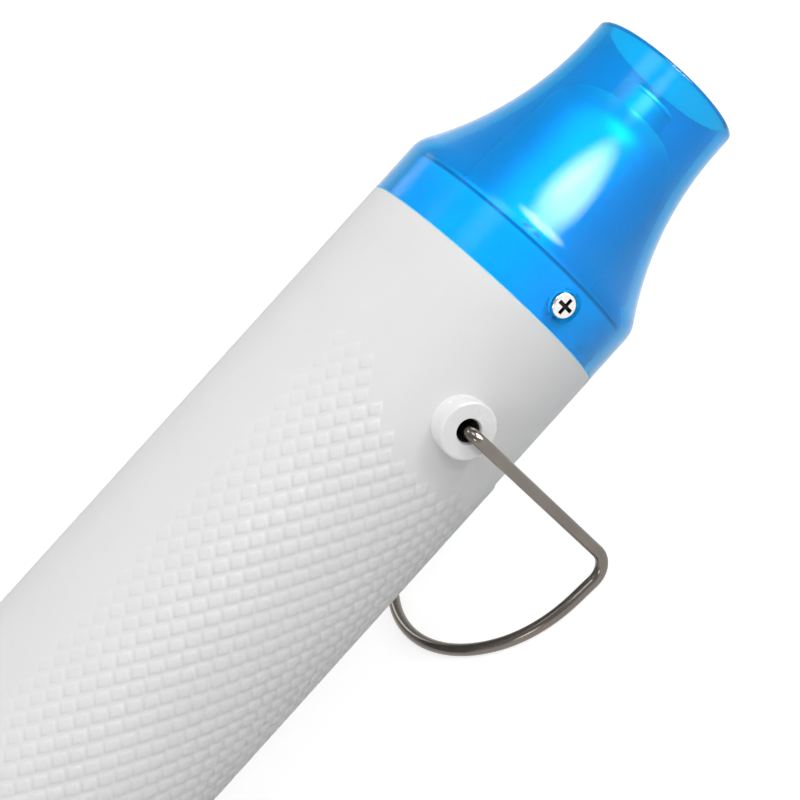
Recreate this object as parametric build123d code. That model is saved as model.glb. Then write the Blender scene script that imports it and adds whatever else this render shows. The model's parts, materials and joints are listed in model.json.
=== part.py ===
from build123d import *
from math import asin, atan2, cos, degrees, hypot, radians, sin, sqrt, tan
import os

# Embossing heat tool, in millimetres.
# It is drawn along its own axis: +X towards the nozzle, +Z up, +Y to the left, X = 0 at the rear face.
# At the end it is tipped nose-up on its wire stand, with Z = 0 at the surface that it stands on.

# Barrel and the collar at its front
BARREL_DIAMETER = 45.0
BARREL_LENGTH = 172.0
BARREL_WALL = 2.0
COLLAR_WALL = 2.0
COLLAR_SHOULDER = 3.0
BASE_LEDGE_WIDTH = 2.0
BASE_LEDGE_DEPTH = 2.1
DUCT_LEDGE_WIDTH = 2.0

# Rear cap
CAP_LENGTH = 9.0
CAP_WALL = 2.0
CAP_RIM_RADIUS = 2.5
CAP_SPIGOT_LENGTH = 6.0
CAP_SLOTS = 24
CAP_SLOT_WIDTH = 1.6
CAP_SLOT_INNER = 8.6
CAP_SLOT_OUTER = 13.4
REAR_SCREWS = 3
REAR_POST_RADIUS = 3.7
REAR_POST_LENGTH = 11.0
PILOT_FLOOR = 1.5
POST_OVERLAP = 0.5

# Cord inlet and the clamp behind it
CORD_BORE_RADIUS = 3.3
GLAND_RADIUS = 5.5
GLAND_LIP_RADIUS = 7.0
GLAND_LIP = 1.5
CLAMP_LENGTH = 9.0
CLAMP_WIDTH = 20.0
CLAMP_SHELF_DEPTH = 7.0
CLAMP_BAR_HEIGHT = 4.6
CLAMP_SCREW_SPAN = 14.0
CLAMP_GAP = 1.0
CLAMP_ROUND = 1.5

# Translucent nozzle guard
GUARD_LENGTH = 43.0
GUARD_WALL = 1.8
GUARD_TIP_RADIUS = 13.55
GUARD_TIP_LENGTH = 3.0
GUARD_FLARE_RADIUS = 55.6
GUARD_BAND_ROUND = 5.0
GUARD_RIM_ROUND = 0.7
GUARD_SEAT_DEPTH = 1.4
GUARD_BOSS_LENGTH = 3.0

# Wire stand and its bushes
WIRE_RADIUS = 1.025
PIVOT_SETBACK = 19.2
LEG_LENGTH = 36.5
LEG_GAP = 0.6
WIRE_END_DEPTH = 1.5
PIVOT_BEND_RADIUS = 2.0
FOOT_BEND_RADIUS = 3.5
FOOT_HALF_WIDTH = 24.6
FOOT_REACH = 29.9
FOOT_ARM = 7.8
FOOT_SIDE_RADIUS = 20.0
BUSH_RADIUS = 4.6
BUSH_STAND = 3.3
BUSH_SPIGOT_RADIUS = 3.0
BUSH_INNER_LENGTH = 0.5
BUSH_DISH_RADIUS = 2.1
BUSH_DISH_DEPTH = 2.2
BUSH_EDGE_ROUND = 0.4

# Rocker switch in the smooth strip on top
SWITCH_FROM_DUCT = 39.0
SWITCH_LENGTH = 13.6
SWITCH_WIDTH = 9.0
SWITCH_DEPTH = 9.5
SWITCH_WALL = 0.8
BEZEL_LIP = 1.0
BEZEL_HEIGHT = 1.2
BEZEL_CORNER = 1.2
BEZEL_EDGE = 0.4
SWITCH_FLOOR = 1.0
SWITCH_FLAT_DEPTH = 1.0
SWITCH_PAD_DEPTH = 3.4
SWITCH_PAD_MARGIN = 2.5
ROCKER_THROW = 14.0
ROCKER_LENGTH = 11.2
ROCKER_RISE = 2.6
ROCKER_DIP = 0.8
ROCKER_SIDE_GAP = 0.2
ROCKER_TAIL = 4.0
ROCKER_TAIL_SHARE = 0.35
ROCKER_SKIRT = 0.6
ROCKER_ROUND = 0.6
ROCKER_PIN_RADIUS = 0.8
TERMINAL_SPAN = 7.6
TERMINAL_LENGTH = 6.0
TERMINAL_INSIDE = 2.5
TERMINAL_WIDTH = 3.2
TERMINAL_THICKNESS = 0.8

# Motor, fan and duct
MOTOR_SETBACK = 60.0
MOTOR_RADIUS = 12.0
MOTOR_LENGTH = 24.0
MOTOR_WALL = 0.8
MAGNET_THICKNESS = 1.9
MAGNET_GAP = 5.0
MAGNET_OVERHANG = 1.0
AIR_GAP = 0.4
CORE_LENGTH = 12.0
CORE_GAP = 2.0
CORE_SLOT_WIDTH = 4.6
CORE_SLOT_INNER_SHARE = 0.45
CORE_SLOT_OUTER_SHARE = 0.9
CORE_MOUTH_WIDTH = 1.2
WINDING_OVERHANG = 0.6
SHAFT_RADIUS = 1.0
SHAFT_INSET = 1.0
SHAFT_TIP = 0.4
BUSHING_RADIUS = 2.5
BUSHING_LENGTH = 3.0
COMMUTATOR_RADIUS = 2.6
COMMUTATOR_LENGTH = 3.4
COMMUTATOR_GAP = 0.8
BRUSH_SIZE = 1.6
BRUSH_LENGTH = 4.0
TAB_THICKNESS = 0.5
TAB_WIDTH = 2.0
TAB_INSIDE = 2.0
TAB_STAND = 1.4
ARM_GAP = 1.9
HUB_WALL = 1.0
END_PAD_RADIUS = 1.5
END_CAP_THICKNESS = 1.6
BOARD_STANDOFF = 1.5
BOARD_RADIUS = 11.0
BOARD_THICKNESS = 1.6
BOARD_HOLE_GAP = 0.5
DIODE_RADIUS = 1.35
DIODE_LENGTH = 5.2
DIODE_PITCH = 4.0
DIODE_LEG_RADIUS = 0.35
DIODE_LEG_REACH = 0.9
DIODE_HOLE_GAP = 1.2
FAN_BLADES = 7
FAN_LENGTH = 9.0
FAN_HUB_RADIUS = 6.0
FAN_HUB_ROUND = 2.0
FAN_BLADE_THICKNESS = 0.9
FAN_BLADE_ANGLE = 42.0
FAN_BLADE_MARGIN = 0.4
FAN_TIP_GAP = 0.6
FAN_MOTOR_GAP = 4.0
DUCT_WALL = 1.8
DUCT_REAR_MARGIN = 2.0
DUCT_CUP_LENGTH = 16.0
DUCT_CUP_WALL = 1.2
DUCT_CUP_FLOOR = 1.5
DUCT_VANE_INSET = 1.0
DUCT_VANES = 5
DUCT_VANE_THICKNESS = 1.2
MOTOR_SCREW_OFFSET = 8.0

# Heater and steel nozzle
BASE_THICKNESS = 1.5
BASE_HUB_RADIUS = 3.0
BASE_WINDOW_RADIUS = 10.0
BASE_ARM_WIDTH = 4.0
SLEEVE_WALL = 0.4
COIL_RADIUS = 8.0
COIL_WIRE_RADIUS = 0.45
COIL_TURNS = 13
COIL_START = 1.8
COIL_LENGTH = 24.2
MICA_THICKNESS = 0.6
MICA_LENGTH = 30.0
MICA_TONGUE_LENGTH = 9.6
MICA_TONGUE_WIDTH = 6.2
MICA_TAB_INSET = 0.4
MICA_TAB_WIDTH = 2.2
EYELET_RADIUS = 0.9
EYELET_FRONT = 1.2
EYELET_REAR = 1.7
CUTOFF_SIZE = (3.0, 8.0, 3.0)
CUTOFF_DROP = 11.7
CUTOFF_ROUND = 0.8
NOZZLE_WALL = 0.6
NOZZLE_FLANGE_INSET = 0.7
NOZZLE_BASE_RADIUS = 13.4
NOZZLE_BODY_RADIUS = 12.0
NOZZLE_BODY_LENGTH = 19.0
NOZZLE_SHOULDER_RADIUS = 7.8
NOZZLE_NECK_RADIUS = 4.9
NOZZLE_REACH = 38.4
NOZZLE_LIP_RADIUS = 0.45
NOZZLE_SCREWS = 3
NOZZLE_LUG_RADIUS = 2.6
NOZZLE_LUG_LENGTH = 7.0

# Wiring that the barrel holds
LEAD_RADIUS = 0.6
LEAD_BEND_RADIUS = 6.0
LEAD_STRAIGHT = 5.0
LEAD_GROOVE = 1.8
SWITCH_LEAD_HEIGHT = 13.2

# Screws: head radius, head height, shank radius, length
GUARD_SCREW = (2.2, 1.3, 1.1, 6.0)
NOZZLE_SCREW = (1.7, 1.0, 0.85, 6.0)
REAR_SCREW = (2.4, 1.8, 1.25, 14.0)
CLAMP_SCREW = (2.2, 1.3, 1.1, 9.0)
MOTOR_SCREW = (1.6, 1.0, 0.9, 3.0)
RECESS_WIDTH = 0.62
RECESS_DEPTH = 0.75
RECESS_REACH_SHARE = 0.62
SCREW_DOME_SHARE = 0.55

# Clearances
SLIDE_CLEARANCE = 0.1
SEAT_CLEARANCE = 0.02
RUNNING_CLEARANCE = 0.06
HEAD_CLEARANCE = 0.35

# How far a cutting shape runs past what it cuts
BEYOND = 1.0

# Worked out from the sizes above
BARREL_RADIUS = BARREL_DIAMETER / 2
BORE_RADIUS = BARREL_RADIUS - BARREL_WALL
BARREL_START = CAP_LENGTH
FRONT = BARREL_START + BARREL_LENGTH
COLLAR_RADIUS = BARREL_RADIUS - GUARD_WALL - SLIDE_CLEARANCE
COLLAR_BORE = COLLAR_RADIUS - COLLAR_WALL
INNER_FLARE = GUARD_FLARE_RADIUS + GUARD_WALL
INNER_FLARE_RISE = GUARD_FLARE_RADIUS + GUARD_TIP_RADIUS - BARREL_RADIUS + GUARD_WALL
INNER_FLARE_RUN = sqrt(INNER_FLARE**2 - INNER_FLARE_RISE**2)
INNER_ROUND_RUN = (GUARD_BAND_ROUND - GUARD_WALL) * tan(asin(INNER_FLARE_RUN / INNER_FLARE) / 2)
BAND_LENGTH = GUARD_LENGTH - GUARD_TIP_LENGTH - INNER_FLARE_RUN - INNER_ROUND_RUN
COLLAR_LENGTH = BAND_LENGTH - SLIDE_CLEARANCE
COLLAR_END = FRONT + COLLAR_LENGTH
GUARD_SCREW_X = FRONT + COLLAR_LENGTH / 2
GUARD_BOSS_RADIUS = COLLAR_LENGTH / 3
PIVOT_X = FRONT - PIVOT_SETBACK
LEG_Y = BARREL_RADIUS + BUSH_STAND + LEG_GAP + WIRE_RADIUS
BUSH_BORE = WIRE_RADIUS + RUNNING_CLEARANCE
MOTOR_START = FRONT - MOTOR_SETBACK
MOTOR_END = MOTOR_START + MOTOR_LENGTH
BOARD_START = MOTOR_END + MOTOR_WALL + BOARD_STANDOFF
BOARD_END = BOARD_START + BOARD_THICKNESS
FAN_END = MOTOR_START - FAN_MOTOR_GAP
FAN_START = FAN_END - FAN_LENGTH
DUCT_RADIUS = BORE_RADIUS - SLIDE_CLEARANCE
DUCT_BORE = DUCT_RADIUS - DUCT_WALL
DUCT_START = FAN_START - DUCT_REAR_MARGIN
DUCT_END = MOTOR_START + DUCT_CUP_LENGTH
DUCT_LEDGE_BORE = DUCT_BORE + SLIDE_CLEARANCE
CORE_RADIUS = MOTOR_RADIUS - MOTOR_WALL - MAGNET_THICKNESS - SEAT_CLEARANCE - AIR_GAP
CORE_START = MOTOR_START + BUSHING_LENGTH + CORE_GAP
CORE_END = CORE_START + CORE_LENGTH
COMMUTATOR_START = CORE_END + COMMUTATOR_GAP
BASE_START = FRONT - BASE_THICKNESS
BASE_RADIUS = COLLAR_BORE - SLIDE_CLEARANCE
EYELET_OFFSET = COIL_RADIUS - COIL_WIRE_RADIUS + EYELET_RADIUS
BRUSH_TAB_OFFSET = EYELET_OFFSET
NOZZLE_BODY_END = COLLAR_END + NOZZLE_BODY_LENGTH
NOZZLE_FLANGE_RADIUS = COLLAR_RADIUS - NOZZLE_FLANGE_INSET
SLEEVE_RADIUS = NOZZLE_BODY_RADIUS - NOZZLE_WALL - 2 * SLIDE_CLEARANCE
NOZZLE_SCREW_CIRCLE = COLLAR_BORE - NOZZLE_LUG_RADIUS + POST_OVERLAP
REAR_SCREW_CIRCLE = BORE_RADIUS - REAR_POST_RADIUS + POST_OVERLAP
REAR_POST_START = BARREL_START + CAP_SPIGOT_LENGTH + SLIDE_CLEARANCE
REAR_SEAT = REAR_POST_START + REAR_POST_LENGTH - 2 * PILOT_FLOOR - REAR_SCREW[3]
SWITCH_X = DUCT_START - SWITCH_FROM_DUCT
SWITCH_FLAT = BARREL_RADIUS - SWITCH_FLAT_DEPTH
ROCKER_PIVOT_Z = SWITCH_FLAT
GUARD_SEAT = BARREL_RADIUS - GUARD_SEAT_DEPTH

# The angle at which the tool stands: its ground line touches the wire's foot and the rear rim.
REAR_RIM_DROP = BARREL_RADIUS - CAP_RIM_RADIUS
STAND_RUN = PIVOT_X - CAP_RIM_RADIUS
STAND_RISE = LEG_LENGTH - REAR_RIM_DROP
TILT = atan2(STAND_RISE, STAND_RUN) - asin((CAP_RIM_RADIUS - WIRE_RADIUS) / hypot(STAND_RUN, STAND_RISE))

LOW = (Align.CENTER, Align.CENTER, Align.MIN)


def along_x(radius, start, end, y=0.0, z=0.0):
    return Pos(start, y, z) * Rot(0, 90, 0) * Cylinder(radius, end - start, align=LOW)


def along_y(radius, start, end, x=0.0, z=0.0):
    return Pos(x, start, z) * Rot(-90, 0, 0) * Cylinder(radius, end - start, align=LOW)


def along_z(radius, start, end, x=0.0, y=0.0):
    return Pos(x, y, start) * Cylinder(radius, end - start, align=LOW)


def ring(outer, inner, start, end):
    return along_x(outer, start, end) - along_x(inner, start, end)


def block(x, y, z):
    """A box between two ends along each axis."""
    middle = Pos((x[0] + x[1]) / 2, (y[0] + y[1]) / 2, (z[0] + z[1]) / 2)
    return middle * Box(x[1] - x[0], y[1] - y[0], z[1] - z[0])


def turned(*points):
    """A solid of revolution about the tool's axis, from (x, radius) points."""
    return revolve(make_face(Polyline(*points, close=True)), Axis.X)


def around(shape, count, first=0.0):
    """Copies of a shape spaced evenly about the tool's axis."""
    return [Rot(first + 360 * n / count, 0, 0) * shape for n in range(count)]


def both_sides(shape):
    """A shape on the -Y side and its mirror image on the +Y side."""
    return [shape, mirror(shape, Plane.XZ)]


def screw(size):
    """A pan-head cross-recess screw along Z, head up, seated at Z = 0."""
    head_radius, head_height, shank_radius, length = size
    head = along_z(head_radius, 0, head_height)
    head = fillet(head.edges().group_by(Axis.Z)[-1], head_height * SCREW_DOME_SHARE)
    reach = head_radius * RECESS_REACH_SHARE
    top = (head_height - RECESS_DEPTH, head_height + BEYOND)
    slot = (-RECESS_WIDTH / 2, RECESS_WIDTH / 2)
    cross = block((-reach, reach), slot, top) + block(slot, (-reach, reach), top)
    return head - cross + along_z(shank_radius, -length, 0)


def barrel_shell():
    """The turned shell: rear bore, duct ledge, base ledge and collar."""
    ledge_bore = COLLAR_BORE - BASE_LEDGE_DEPTH
    ledge_start = BASE_START - BASE_LEDGE_WIDTH
    return turned(
        (BARREL_START, BARREL_RADIUS),
        (FRONT, BARREL_RADIUS),
        (FRONT, COLLAR_RADIUS),
        (COLLAR_END, COLLAR_RADIUS),
        (COLLAR_END, COLLAR_BORE),
        (BASE_START, COLLAR_BORE),
        (BASE_START, ledge_bore),
        (ledge_start, ledge_bore),
        (ledge_start - COLLAR_SHOULDER, BORE_RADIUS),
        (DUCT_END + DUCT_LEDGE_WIDTH, BORE_RADIUS),
        (DUCT_END + DUCT_LEDGE_WIDTH, DUCT_LEDGE_BORE),
        (DUCT_END, DUCT_LEDGE_BORE),
        (DUCT_END, BORE_RADIUS),
        (BARREL_START, BORE_RADIUS),
    )


def switch_seat():
    """The pad under the switch, and what is cut for its bezel and its body."""
    half = (SWITCH_LENGTH / 2 + SWITCH_PAD_MARGIN, SWITCH_WIDTH / 2 + SWITCH_PAD_MARGIN)
    along = (SWITCH_X - half[0], SWITCH_X + half[0])
    pad = block(along, (-half[1], half[1]), (SWITCH_FLAT - SWITCH_PAD_DEPTH, SWITCH_FLAT))
    lip = BEZEL_LIP + 2 * SLIDE_CLEARANCE
    bezel = (SWITCH_LENGTH / 2 + lip, SWITCH_WIDTH / 2 + lip)
    recess = block(
        (SWITCH_X - bezel[0], SWITCH_X + bezel[0]),
        (-bezel[1], bezel[1]),
        (SWITCH_FLAT, BARREL_RADIUS + BEYOND),
    )
    body = (SWITCH_LENGTH / 2 + SLIDE_CLEARANCE, SWITCH_WIDTH / 2 + SLIDE_CLEARANCE)
    hole = block(
        (SWITCH_X - body[0], SWITCH_X + body[0]),
        (-body[1], body[1]),
        (SWITCH_FLAT - SWITCH_PAD_DEPTH - BEYOND, BARREL_RADIUS + BEYOND),
    )
    return pad & along_x(BORE_RADIUS + BARREL_WALL / 2, *along), recess + hole


def guard_bosses():
    """Bosses inside the collar for the two guard screws, and their pilot holes."""
    inner = COLLAR_BORE - GUARD_BOSS_LENGTH
    boss = along_y(GUARD_BOSS_RADIUS, -COLLAR_BORE - COLLAR_WALL / 2, -inner, GUARD_SCREW_X)
    tip = GUARD_SEAT - GUARD_SCREW[3] - SLIDE_CLEARANCE
    pilot = along_y(GUARD_SCREW[2] + SEAT_CLEARANCE, -BARREL_RADIUS, -tip, GUARD_SCREW_X)
    return both_sides(boss), both_sides(pilot)


def nozzle_lugs():
    """Lugs inside the collar that the steel nozzle is screwed to, and their pilot holes."""
    z = -NOZZLE_SCREW_CIRCLE
    lug = along_x(NOZZLE_LUG_RADIUS, COLLAR_END - NOZZLE_LUG_LENGTH, COLLAR_END, z=z)
    depth = NOZZLE_SCREW[3] + SLIDE_CLEARANCE
    pilot = along_x(NOZZLE_SCREW[2] + SEAT_CLEARANCE, COLLAR_END - depth, COLLAR_END + BEYOND, z=z)
    return around(lug, NOZZLE_SCREWS), around(pilot, NOZZLE_SCREWS)


def rear_posts():
    """Posts in the rear of the barrel that take the rear cap's screws, and their pilot holes."""
    end = REAR_POST_START + REAR_POST_LENGTH
    z = REAR_SCREW_CIRCLE
    post = along_x(REAR_POST_RADIUS, REAR_POST_START, end, z=z)
    pilot = along_x(REAR_SCREW[2] + SEAT_CLEARANCE, REAR_POST_START - BEYOND, end - PILOT_FLOOR, z=z)
    return around(post, REAR_SCREWS), around(pilot, REAR_SCREWS)


def barrel():
    """One moulded tube that everything else is fixed in or on."""
    pad, switch_cut = switch_seat()
    bosses, boss_pilots = guard_bosses()
    lugs, lug_pilots = nozzle_lugs()
    posts, post_pilots = rear_posts()
    solid = barrel_shell() + pad + bosses + lugs + posts
    solid = solid - switch_cut - boss_pilots - lug_pilots - post_pilots
    reach = BARREL_RADIUS + BEYOND
    bush_holes = along_y(BUSH_SPIGOT_RADIUS + SEAT_CLEARANCE, -reach, reach, PIVOT_X)
    lead_notch = block(
        (DUCT_END - BEYOND, DUCT_END + DUCT_LEDGE_WIDTH + BEYOND),
        (-LEAD_GROOVE / 2, LEAD_GROOVE / 2),
        (0, BORE_RADIUS),
    )
    return solid - bush_holes - lead_notch


def rear_cap_shell():
    """The cap's rim, rear wall and spigot, with the rear edge rounded."""
    spigot_radius = BORE_RADIUS - SLIDE_CLEARANCE
    spigot_bore = spigot_radius - CAP_WALL
    spigot_end = BARREL_START + CAP_SPIGOT_LENGTH
    shell = turned(
        (0, 0),
        (0, BARREL_RADIUS),
        (BARREL_START, BARREL_RADIUS),
        (BARREL_START, spigot_radius),
        (spigot_end, spigot_radius),
        (spigot_end, spigot_bore),
        (CAP_WALL, spigot_bore),
        (CAP_WALL, 0),
    )
    rim = shell.edges().filter_by(GeomType.CIRCLE).group_by(Axis.X)[0]
    return fillet(rim, CAP_RIM_RADIUS)


def clamp_shelf():
    """The shelf inside the cap that the cord is clamped to, with its groove and pilot holes."""
    half = CLAMP_WIDTH / 2
    along = (CAP_WALL, clamp_x() + CLAMP_LENGTH / 2)
    shelf = block(along, (-half, half), (-CLAMP_SHELF_DEPTH, 0))
    groove = along_x(CORD_BORE_RADIUS, along[0], along[1])
    lip_end = CAP_WALL + GLAND_LIP + SLIDE_CLEARANCE
    lip_room = along_x(GLAND_LIP_RADIUS + SLIDE_CLEARANCE, CAP_WALL, lip_end)
    tip = CLAMP_BAR_HEIGHT - CLAMP_SCREW[3] - SLIDE_CLEARANCE
    pilot_radius = CLAMP_SCREW[2] + SEAT_CLEARANCE
    pilots = [along_z(pilot_radius, tip, BEYOND, clamp_x(), y) for y in clamp_screw_ys()]
    return shelf - groove - lip_room - pilots


def clamp_x():
    return CAP_WALL + GLAND_LIP + CLAMP_GAP + CLAMP_LENGTH / 2


def clamp_screw_ys():
    return (-CLAMP_SCREW_SPAN / 2, CLAMP_SCREW_SPAN / 2)


def rear_cap():
    """The cap that closes the barrel, with intake slots round the cord inlet."""
    tube_end = REAR_POST_START - SLIDE_CLEARANCE
    tube = along_x(REAR_POST_RADIUS, CAP_WALL / 2, tube_end, z=REAR_SCREW_CIRCLE)
    tube = tube & along_x(BORE_RADIUS - SLIDE_CLEARANCE, 0, REAR_POST_START)
    solid = rear_cap_shell() + around(tube, REAR_SCREWS) + clamp_shelf()
    hole_radius = REAR_SCREW[2] + SLIDE_CLEARANCE
    hole = along_x(hole_radius, -BEYOND, REAR_POST_START, z=REAR_SCREW_CIRCLE)
    seat = along_x(REAR_SCREW[0] + SLIDE_CLEARANCE, -BEYOND, REAR_SEAT, z=REAR_SCREW_CIRCLE)
    half = CAP_SLOT_WIDTH / 2
    slot = block((-BEYOND, CAP_WALL), (-half, half), (CAP_SLOT_INNER, CAP_SLOT_OUTER))
    slots = around(slot, CAP_SLOTS, 180 / CAP_SLOTS)
    inlet = along_x(GLAND_RADIUS + SEAT_CLEARANCE, -BEYOND, CAP_WALL)
    return solid - around(hole + seat, REAR_SCREWS) - slots - inlet


def rear_cap_screws():
    one = Pos(REAR_SEAT, 0, REAR_SCREW_CIRCLE) * Rot(0, -90, 0) * screw(REAR_SCREW)
    return around(one, REAR_SCREWS)


def cord_gland():
    """The grommet in the rear wall that the cord comes in through."""
    inside = CAP_WALL + GLAND_LIP
    body = along_x(GLAND_RADIUS, -GLAND_LIP, inside)
    lips = ring(GLAND_LIP_RADIUS, GLAND_RADIUS / 2, -GLAND_LIP, 0)
    lips += ring(GLAND_LIP_RADIUS, GLAND_RADIUS / 2, CAP_WALL, inside)
    return body + lips - along_x(CORD_BORE_RADIUS, -GLAND_LIP - BEYOND, inside + BEYOND)


def cord_clamp():
    """The bar that screws down on the cord."""
    start = clamp_x() - CLAMP_LENGTH / 2
    half = CLAMP_WIDTH / 2
    bar = block((start, start + CLAMP_LENGTH), (-half, half), (0, CLAMP_BAR_HEIGHT))
    bar = fillet(bar.edges().filter_by(Axis.X).group_by(Axis.Z)[-1], CLAMP_ROUND)
    groove = along_x(CORD_BORE_RADIUS, start - BEYOND, start + CLAMP_LENGTH + BEYOND)
    hole_radius = CLAMP_SCREW[2] + SLIDE_CLEARANCE
    top = CLAMP_BAR_HEIGHT + BEYOND
    holes = [along_z(hole_radius, -BEYOND, top, clamp_x(), y) for y in clamp_screw_ys()]
    return bar - groove - holes


def cord_clamp_screws():
    return [Pos(clamp_x(), y, CLAMP_BAR_HEIGHT) * screw(CLAMP_SCREW) for y in clamp_screw_ys()]


def guard_outline(inset):
    """The guard's side seen in section, inset by a wall, closed along the tool's axis."""
    flare = GUARD_FLARE_RADIUS + inset
    tip = GUARD_TIP_RADIUS - inset
    band = BARREL_RADIUS - inset
    tip_start = FRONT + GUARD_LENGTH - GUARD_TIP_LENGTH
    end = FRONT + GUARD_LENGTH
    centre = tip + flare
    flare_run = sqrt(flare**2 - (centre - band) ** 2)
    halfway = asin(flare_run / flare) / 2
    corner = (tip_start - flare_run, band)
    middle = (tip_start - flare * sin(halfway), centre - flare * cos(halfway))
    side = Line((FRONT, band), corner) + ThreePointArc(corner, middle, (tip_start, tip))
    rest = Polyline((tip_start, tip), (end, tip), (end, 0), (FRONT, 0), (FRONT, band))
    face = Sketch() + make_face(side + rest)
    return fillet(face.vertices().sort_by_distance(corner)[0], GUARD_BAND_ROUND - inset)


def nozzle_guard():
    """The translucent cover round the steel nozzle: a straight band, a flare and an open tip."""
    solid = revolve(guard_outline(0), Axis.X) - revolve(guard_outline(GUARD_WALL), Axis.X)
    tip_edges = solid.edges().filter_by(GeomType.CIRCLE).group_by(Axis.X)[-1]
    solid = fillet(tip_edges, GUARD_RIM_ROUND)
    outside = -BARREL_RADIUS - BEYOND
    inside = GUARD_WALL + BEYOND - BARREL_RADIUS
    hole = along_y(GUARD_SCREW[2] + SLIDE_CLEARANCE, outside, inside, GUARD_SCREW_X)
    seat = along_y(GUARD_SCREW[0] + HEAD_CLEARANCE, outside, -GUARD_SEAT, GUARD_SCREW_X)
    return solid - both_sides(hole + seat)


def guard_screws():
    return both_sides(Pos(GUARD_SCREW_X, -GUARD_SEAT, 0) * Rot(90, 0, 0) * screw(GUARD_SCREW))


def bail_bush():
    """The bush on the -Y side: a boss outside, a spigot through the wall and a dish round the bore."""
    face = BARREL_RADIUS + BUSH_STAND
    boss = along_y(BUSH_RADIUS, -face, -BORE_RADIUS, PIVOT_X)
    boss = fillet(boss.edges().group_by(Axis.Y)[0], BUSH_EDGE_ROUND)
    reach = BUSH_RADIUS + BEYOND
    boss -= along_x(BARREL_RADIUS + SEAT_CLEARANCE, PIVOT_X - reach, PIVOT_X + reach)
    inner_end = BUSH_INNER_LENGTH - BORE_RADIUS
    spigot = along_y(BUSH_SPIGOT_RADIUS, -BARREL_RADIUS - BUSH_STAND / 2, inner_end, PIVOT_X)
    bore = along_y(BUSH_BORE, -face - BEYOND, 0, PIVOT_X)
    dish = Cone(BUSH_BORE, BUSH_DISH_RADIUS, BUSH_DISH_DEPTH, align=LOW)
    dish = Pos(PIVOT_X, -face + BUSH_DISH_DEPTH, 0) * Rot(90, 0, 0) * dish
    return boss + spigot - bore - dish


def foot_arc_radius(reach, width):
    """The radius of the foot's end, which runs on smoothly from its two side arcs."""
    side = FOOT_SIDE_RADIUS
    return (reach**2 + (width - side) ** 2 - side**2) / (2 * (reach - side))


def bail_half():
    """Half of the wire's centre line, from its end in the bush to the middle of the foot."""
    back = Vector(-cos(TILT), 0, sin(TILT))
    corner = Vector(PIVOT_X, -FOOT_HALF_WIDTH, -LEG_LENGTH)
    arm_end = corner + back * FOOT_ARM
    leg = FilletPolyline(
        (PIVOT_X, -BORE_RADIUS + WIRE_END_DEPTH, 0),
        (PIVOT_X, -LEG_Y, 0),
        corner,
        arm_end,
        radius=(PIVOT_BEND_RADIUS, FOOT_BEND_RADIUS),
    )
    end_reach = FOOT_REACH - FOOT_ARM
    end_radius = foot_arc_radius(end_reach, FOOT_HALF_WIDTH)
    turn = degrees(atan2(end_radius - end_reach, FOOT_HALF_WIDTH - FOOT_SIDE_RADIUS))
    side = JernArc((0, -FOOT_HALF_WIDTH), (1, 0), FOOT_SIDE_RADIUS, turn)
    end = JernArc(side @ 1, side % 1, end_radius, 90 - turn)
    middle = arm_end + Vector(0, FOOT_HALF_WIDTH, 0)
    foot_plane = Plane(origin=middle, x_dir=back, z_dir=back.cross(Vector(0, 1, 0)))
    return leg + [foot_plane * side, foot_plane * end]


def bail():
    """The bent wire stand: two sprung legs and a looped foot."""
    path = Wire(bail_half().edges())
    section = Plane(origin=path @ 0, z_dir=path % 0) * Circle(WIRE_RADIUS)
    half = sweep(section, path=path)
    return half + mirror(half, Plane.XZ)


def switch_housing():
    """The switch's body and bezel, open at the top round the rocker."""
    top = SWITCH_FLAT + BEZEL_HEIGHT
    half = (SWITCH_LENGTH / 2, SWITCH_WIDTH / 2)
    lip = (half[0] + BEZEL_LIP, half[1] + BEZEL_LIP)
    bottom = SWITCH_FLAT - SWITCH_DEPTH
    body = block((-half[0], half[0]), (-half[1], half[1]), (bottom, SWITCH_FLAT))
    bezel = block((-lip[0], lip[0]), (-lip[1], lip[1]), (SWITCH_FLAT, top))
    bezel = fillet(bezel.edges().filter_by(Axis.Z), BEZEL_CORNER)
    bezel = fillet(bezel.edges().group_by(Axis.Z)[-1], BEZEL_EDGE)
    room = (half[0] - SWITCH_WALL, half[1] - SWITCH_WALL)
    hollow = block(
        (-room[0], room[0]),
        (-room[1], room[1]),
        (bottom + SWITCH_FLOOR, top + BEYOND),
    )
    pin_hole_radius = ROCKER_PIN_RADIUS + RUNNING_CLEARANCE
    pin_hole = along_y(pin_hole_radius, -half[1], half[1], z=ROCKER_PIVOT_Z)
    blades = [terminal_blade(side, SLIDE_CLEARANCE) for side in (-1, 1)]
    return Pos(SWITCH_X, 0, 0) * (body + bezel - hollow - pin_hole - blades)


def terminal_blade(side, gap=0.0):
    """One contact blade of the switch, about the switch's middle."""
    x = side * TERMINAL_SPAN / 2
    thick = TERMINAL_THICKNESS / 2 + gap
    wide = TERMINAL_WIDTH / 2 + gap
    bottom = SWITCH_FLAT - SWITCH_DEPTH
    height = (bottom - TERMINAL_LENGTH, bottom + TERMINAL_INSIDE)
    return block((x - thick, x + thick), (-wide, wide), height)


def switch_terminals():
    return [Pos(SWITCH_X, 0, 0) * terminal_blade(side) for side in (-1, 1)]


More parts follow.
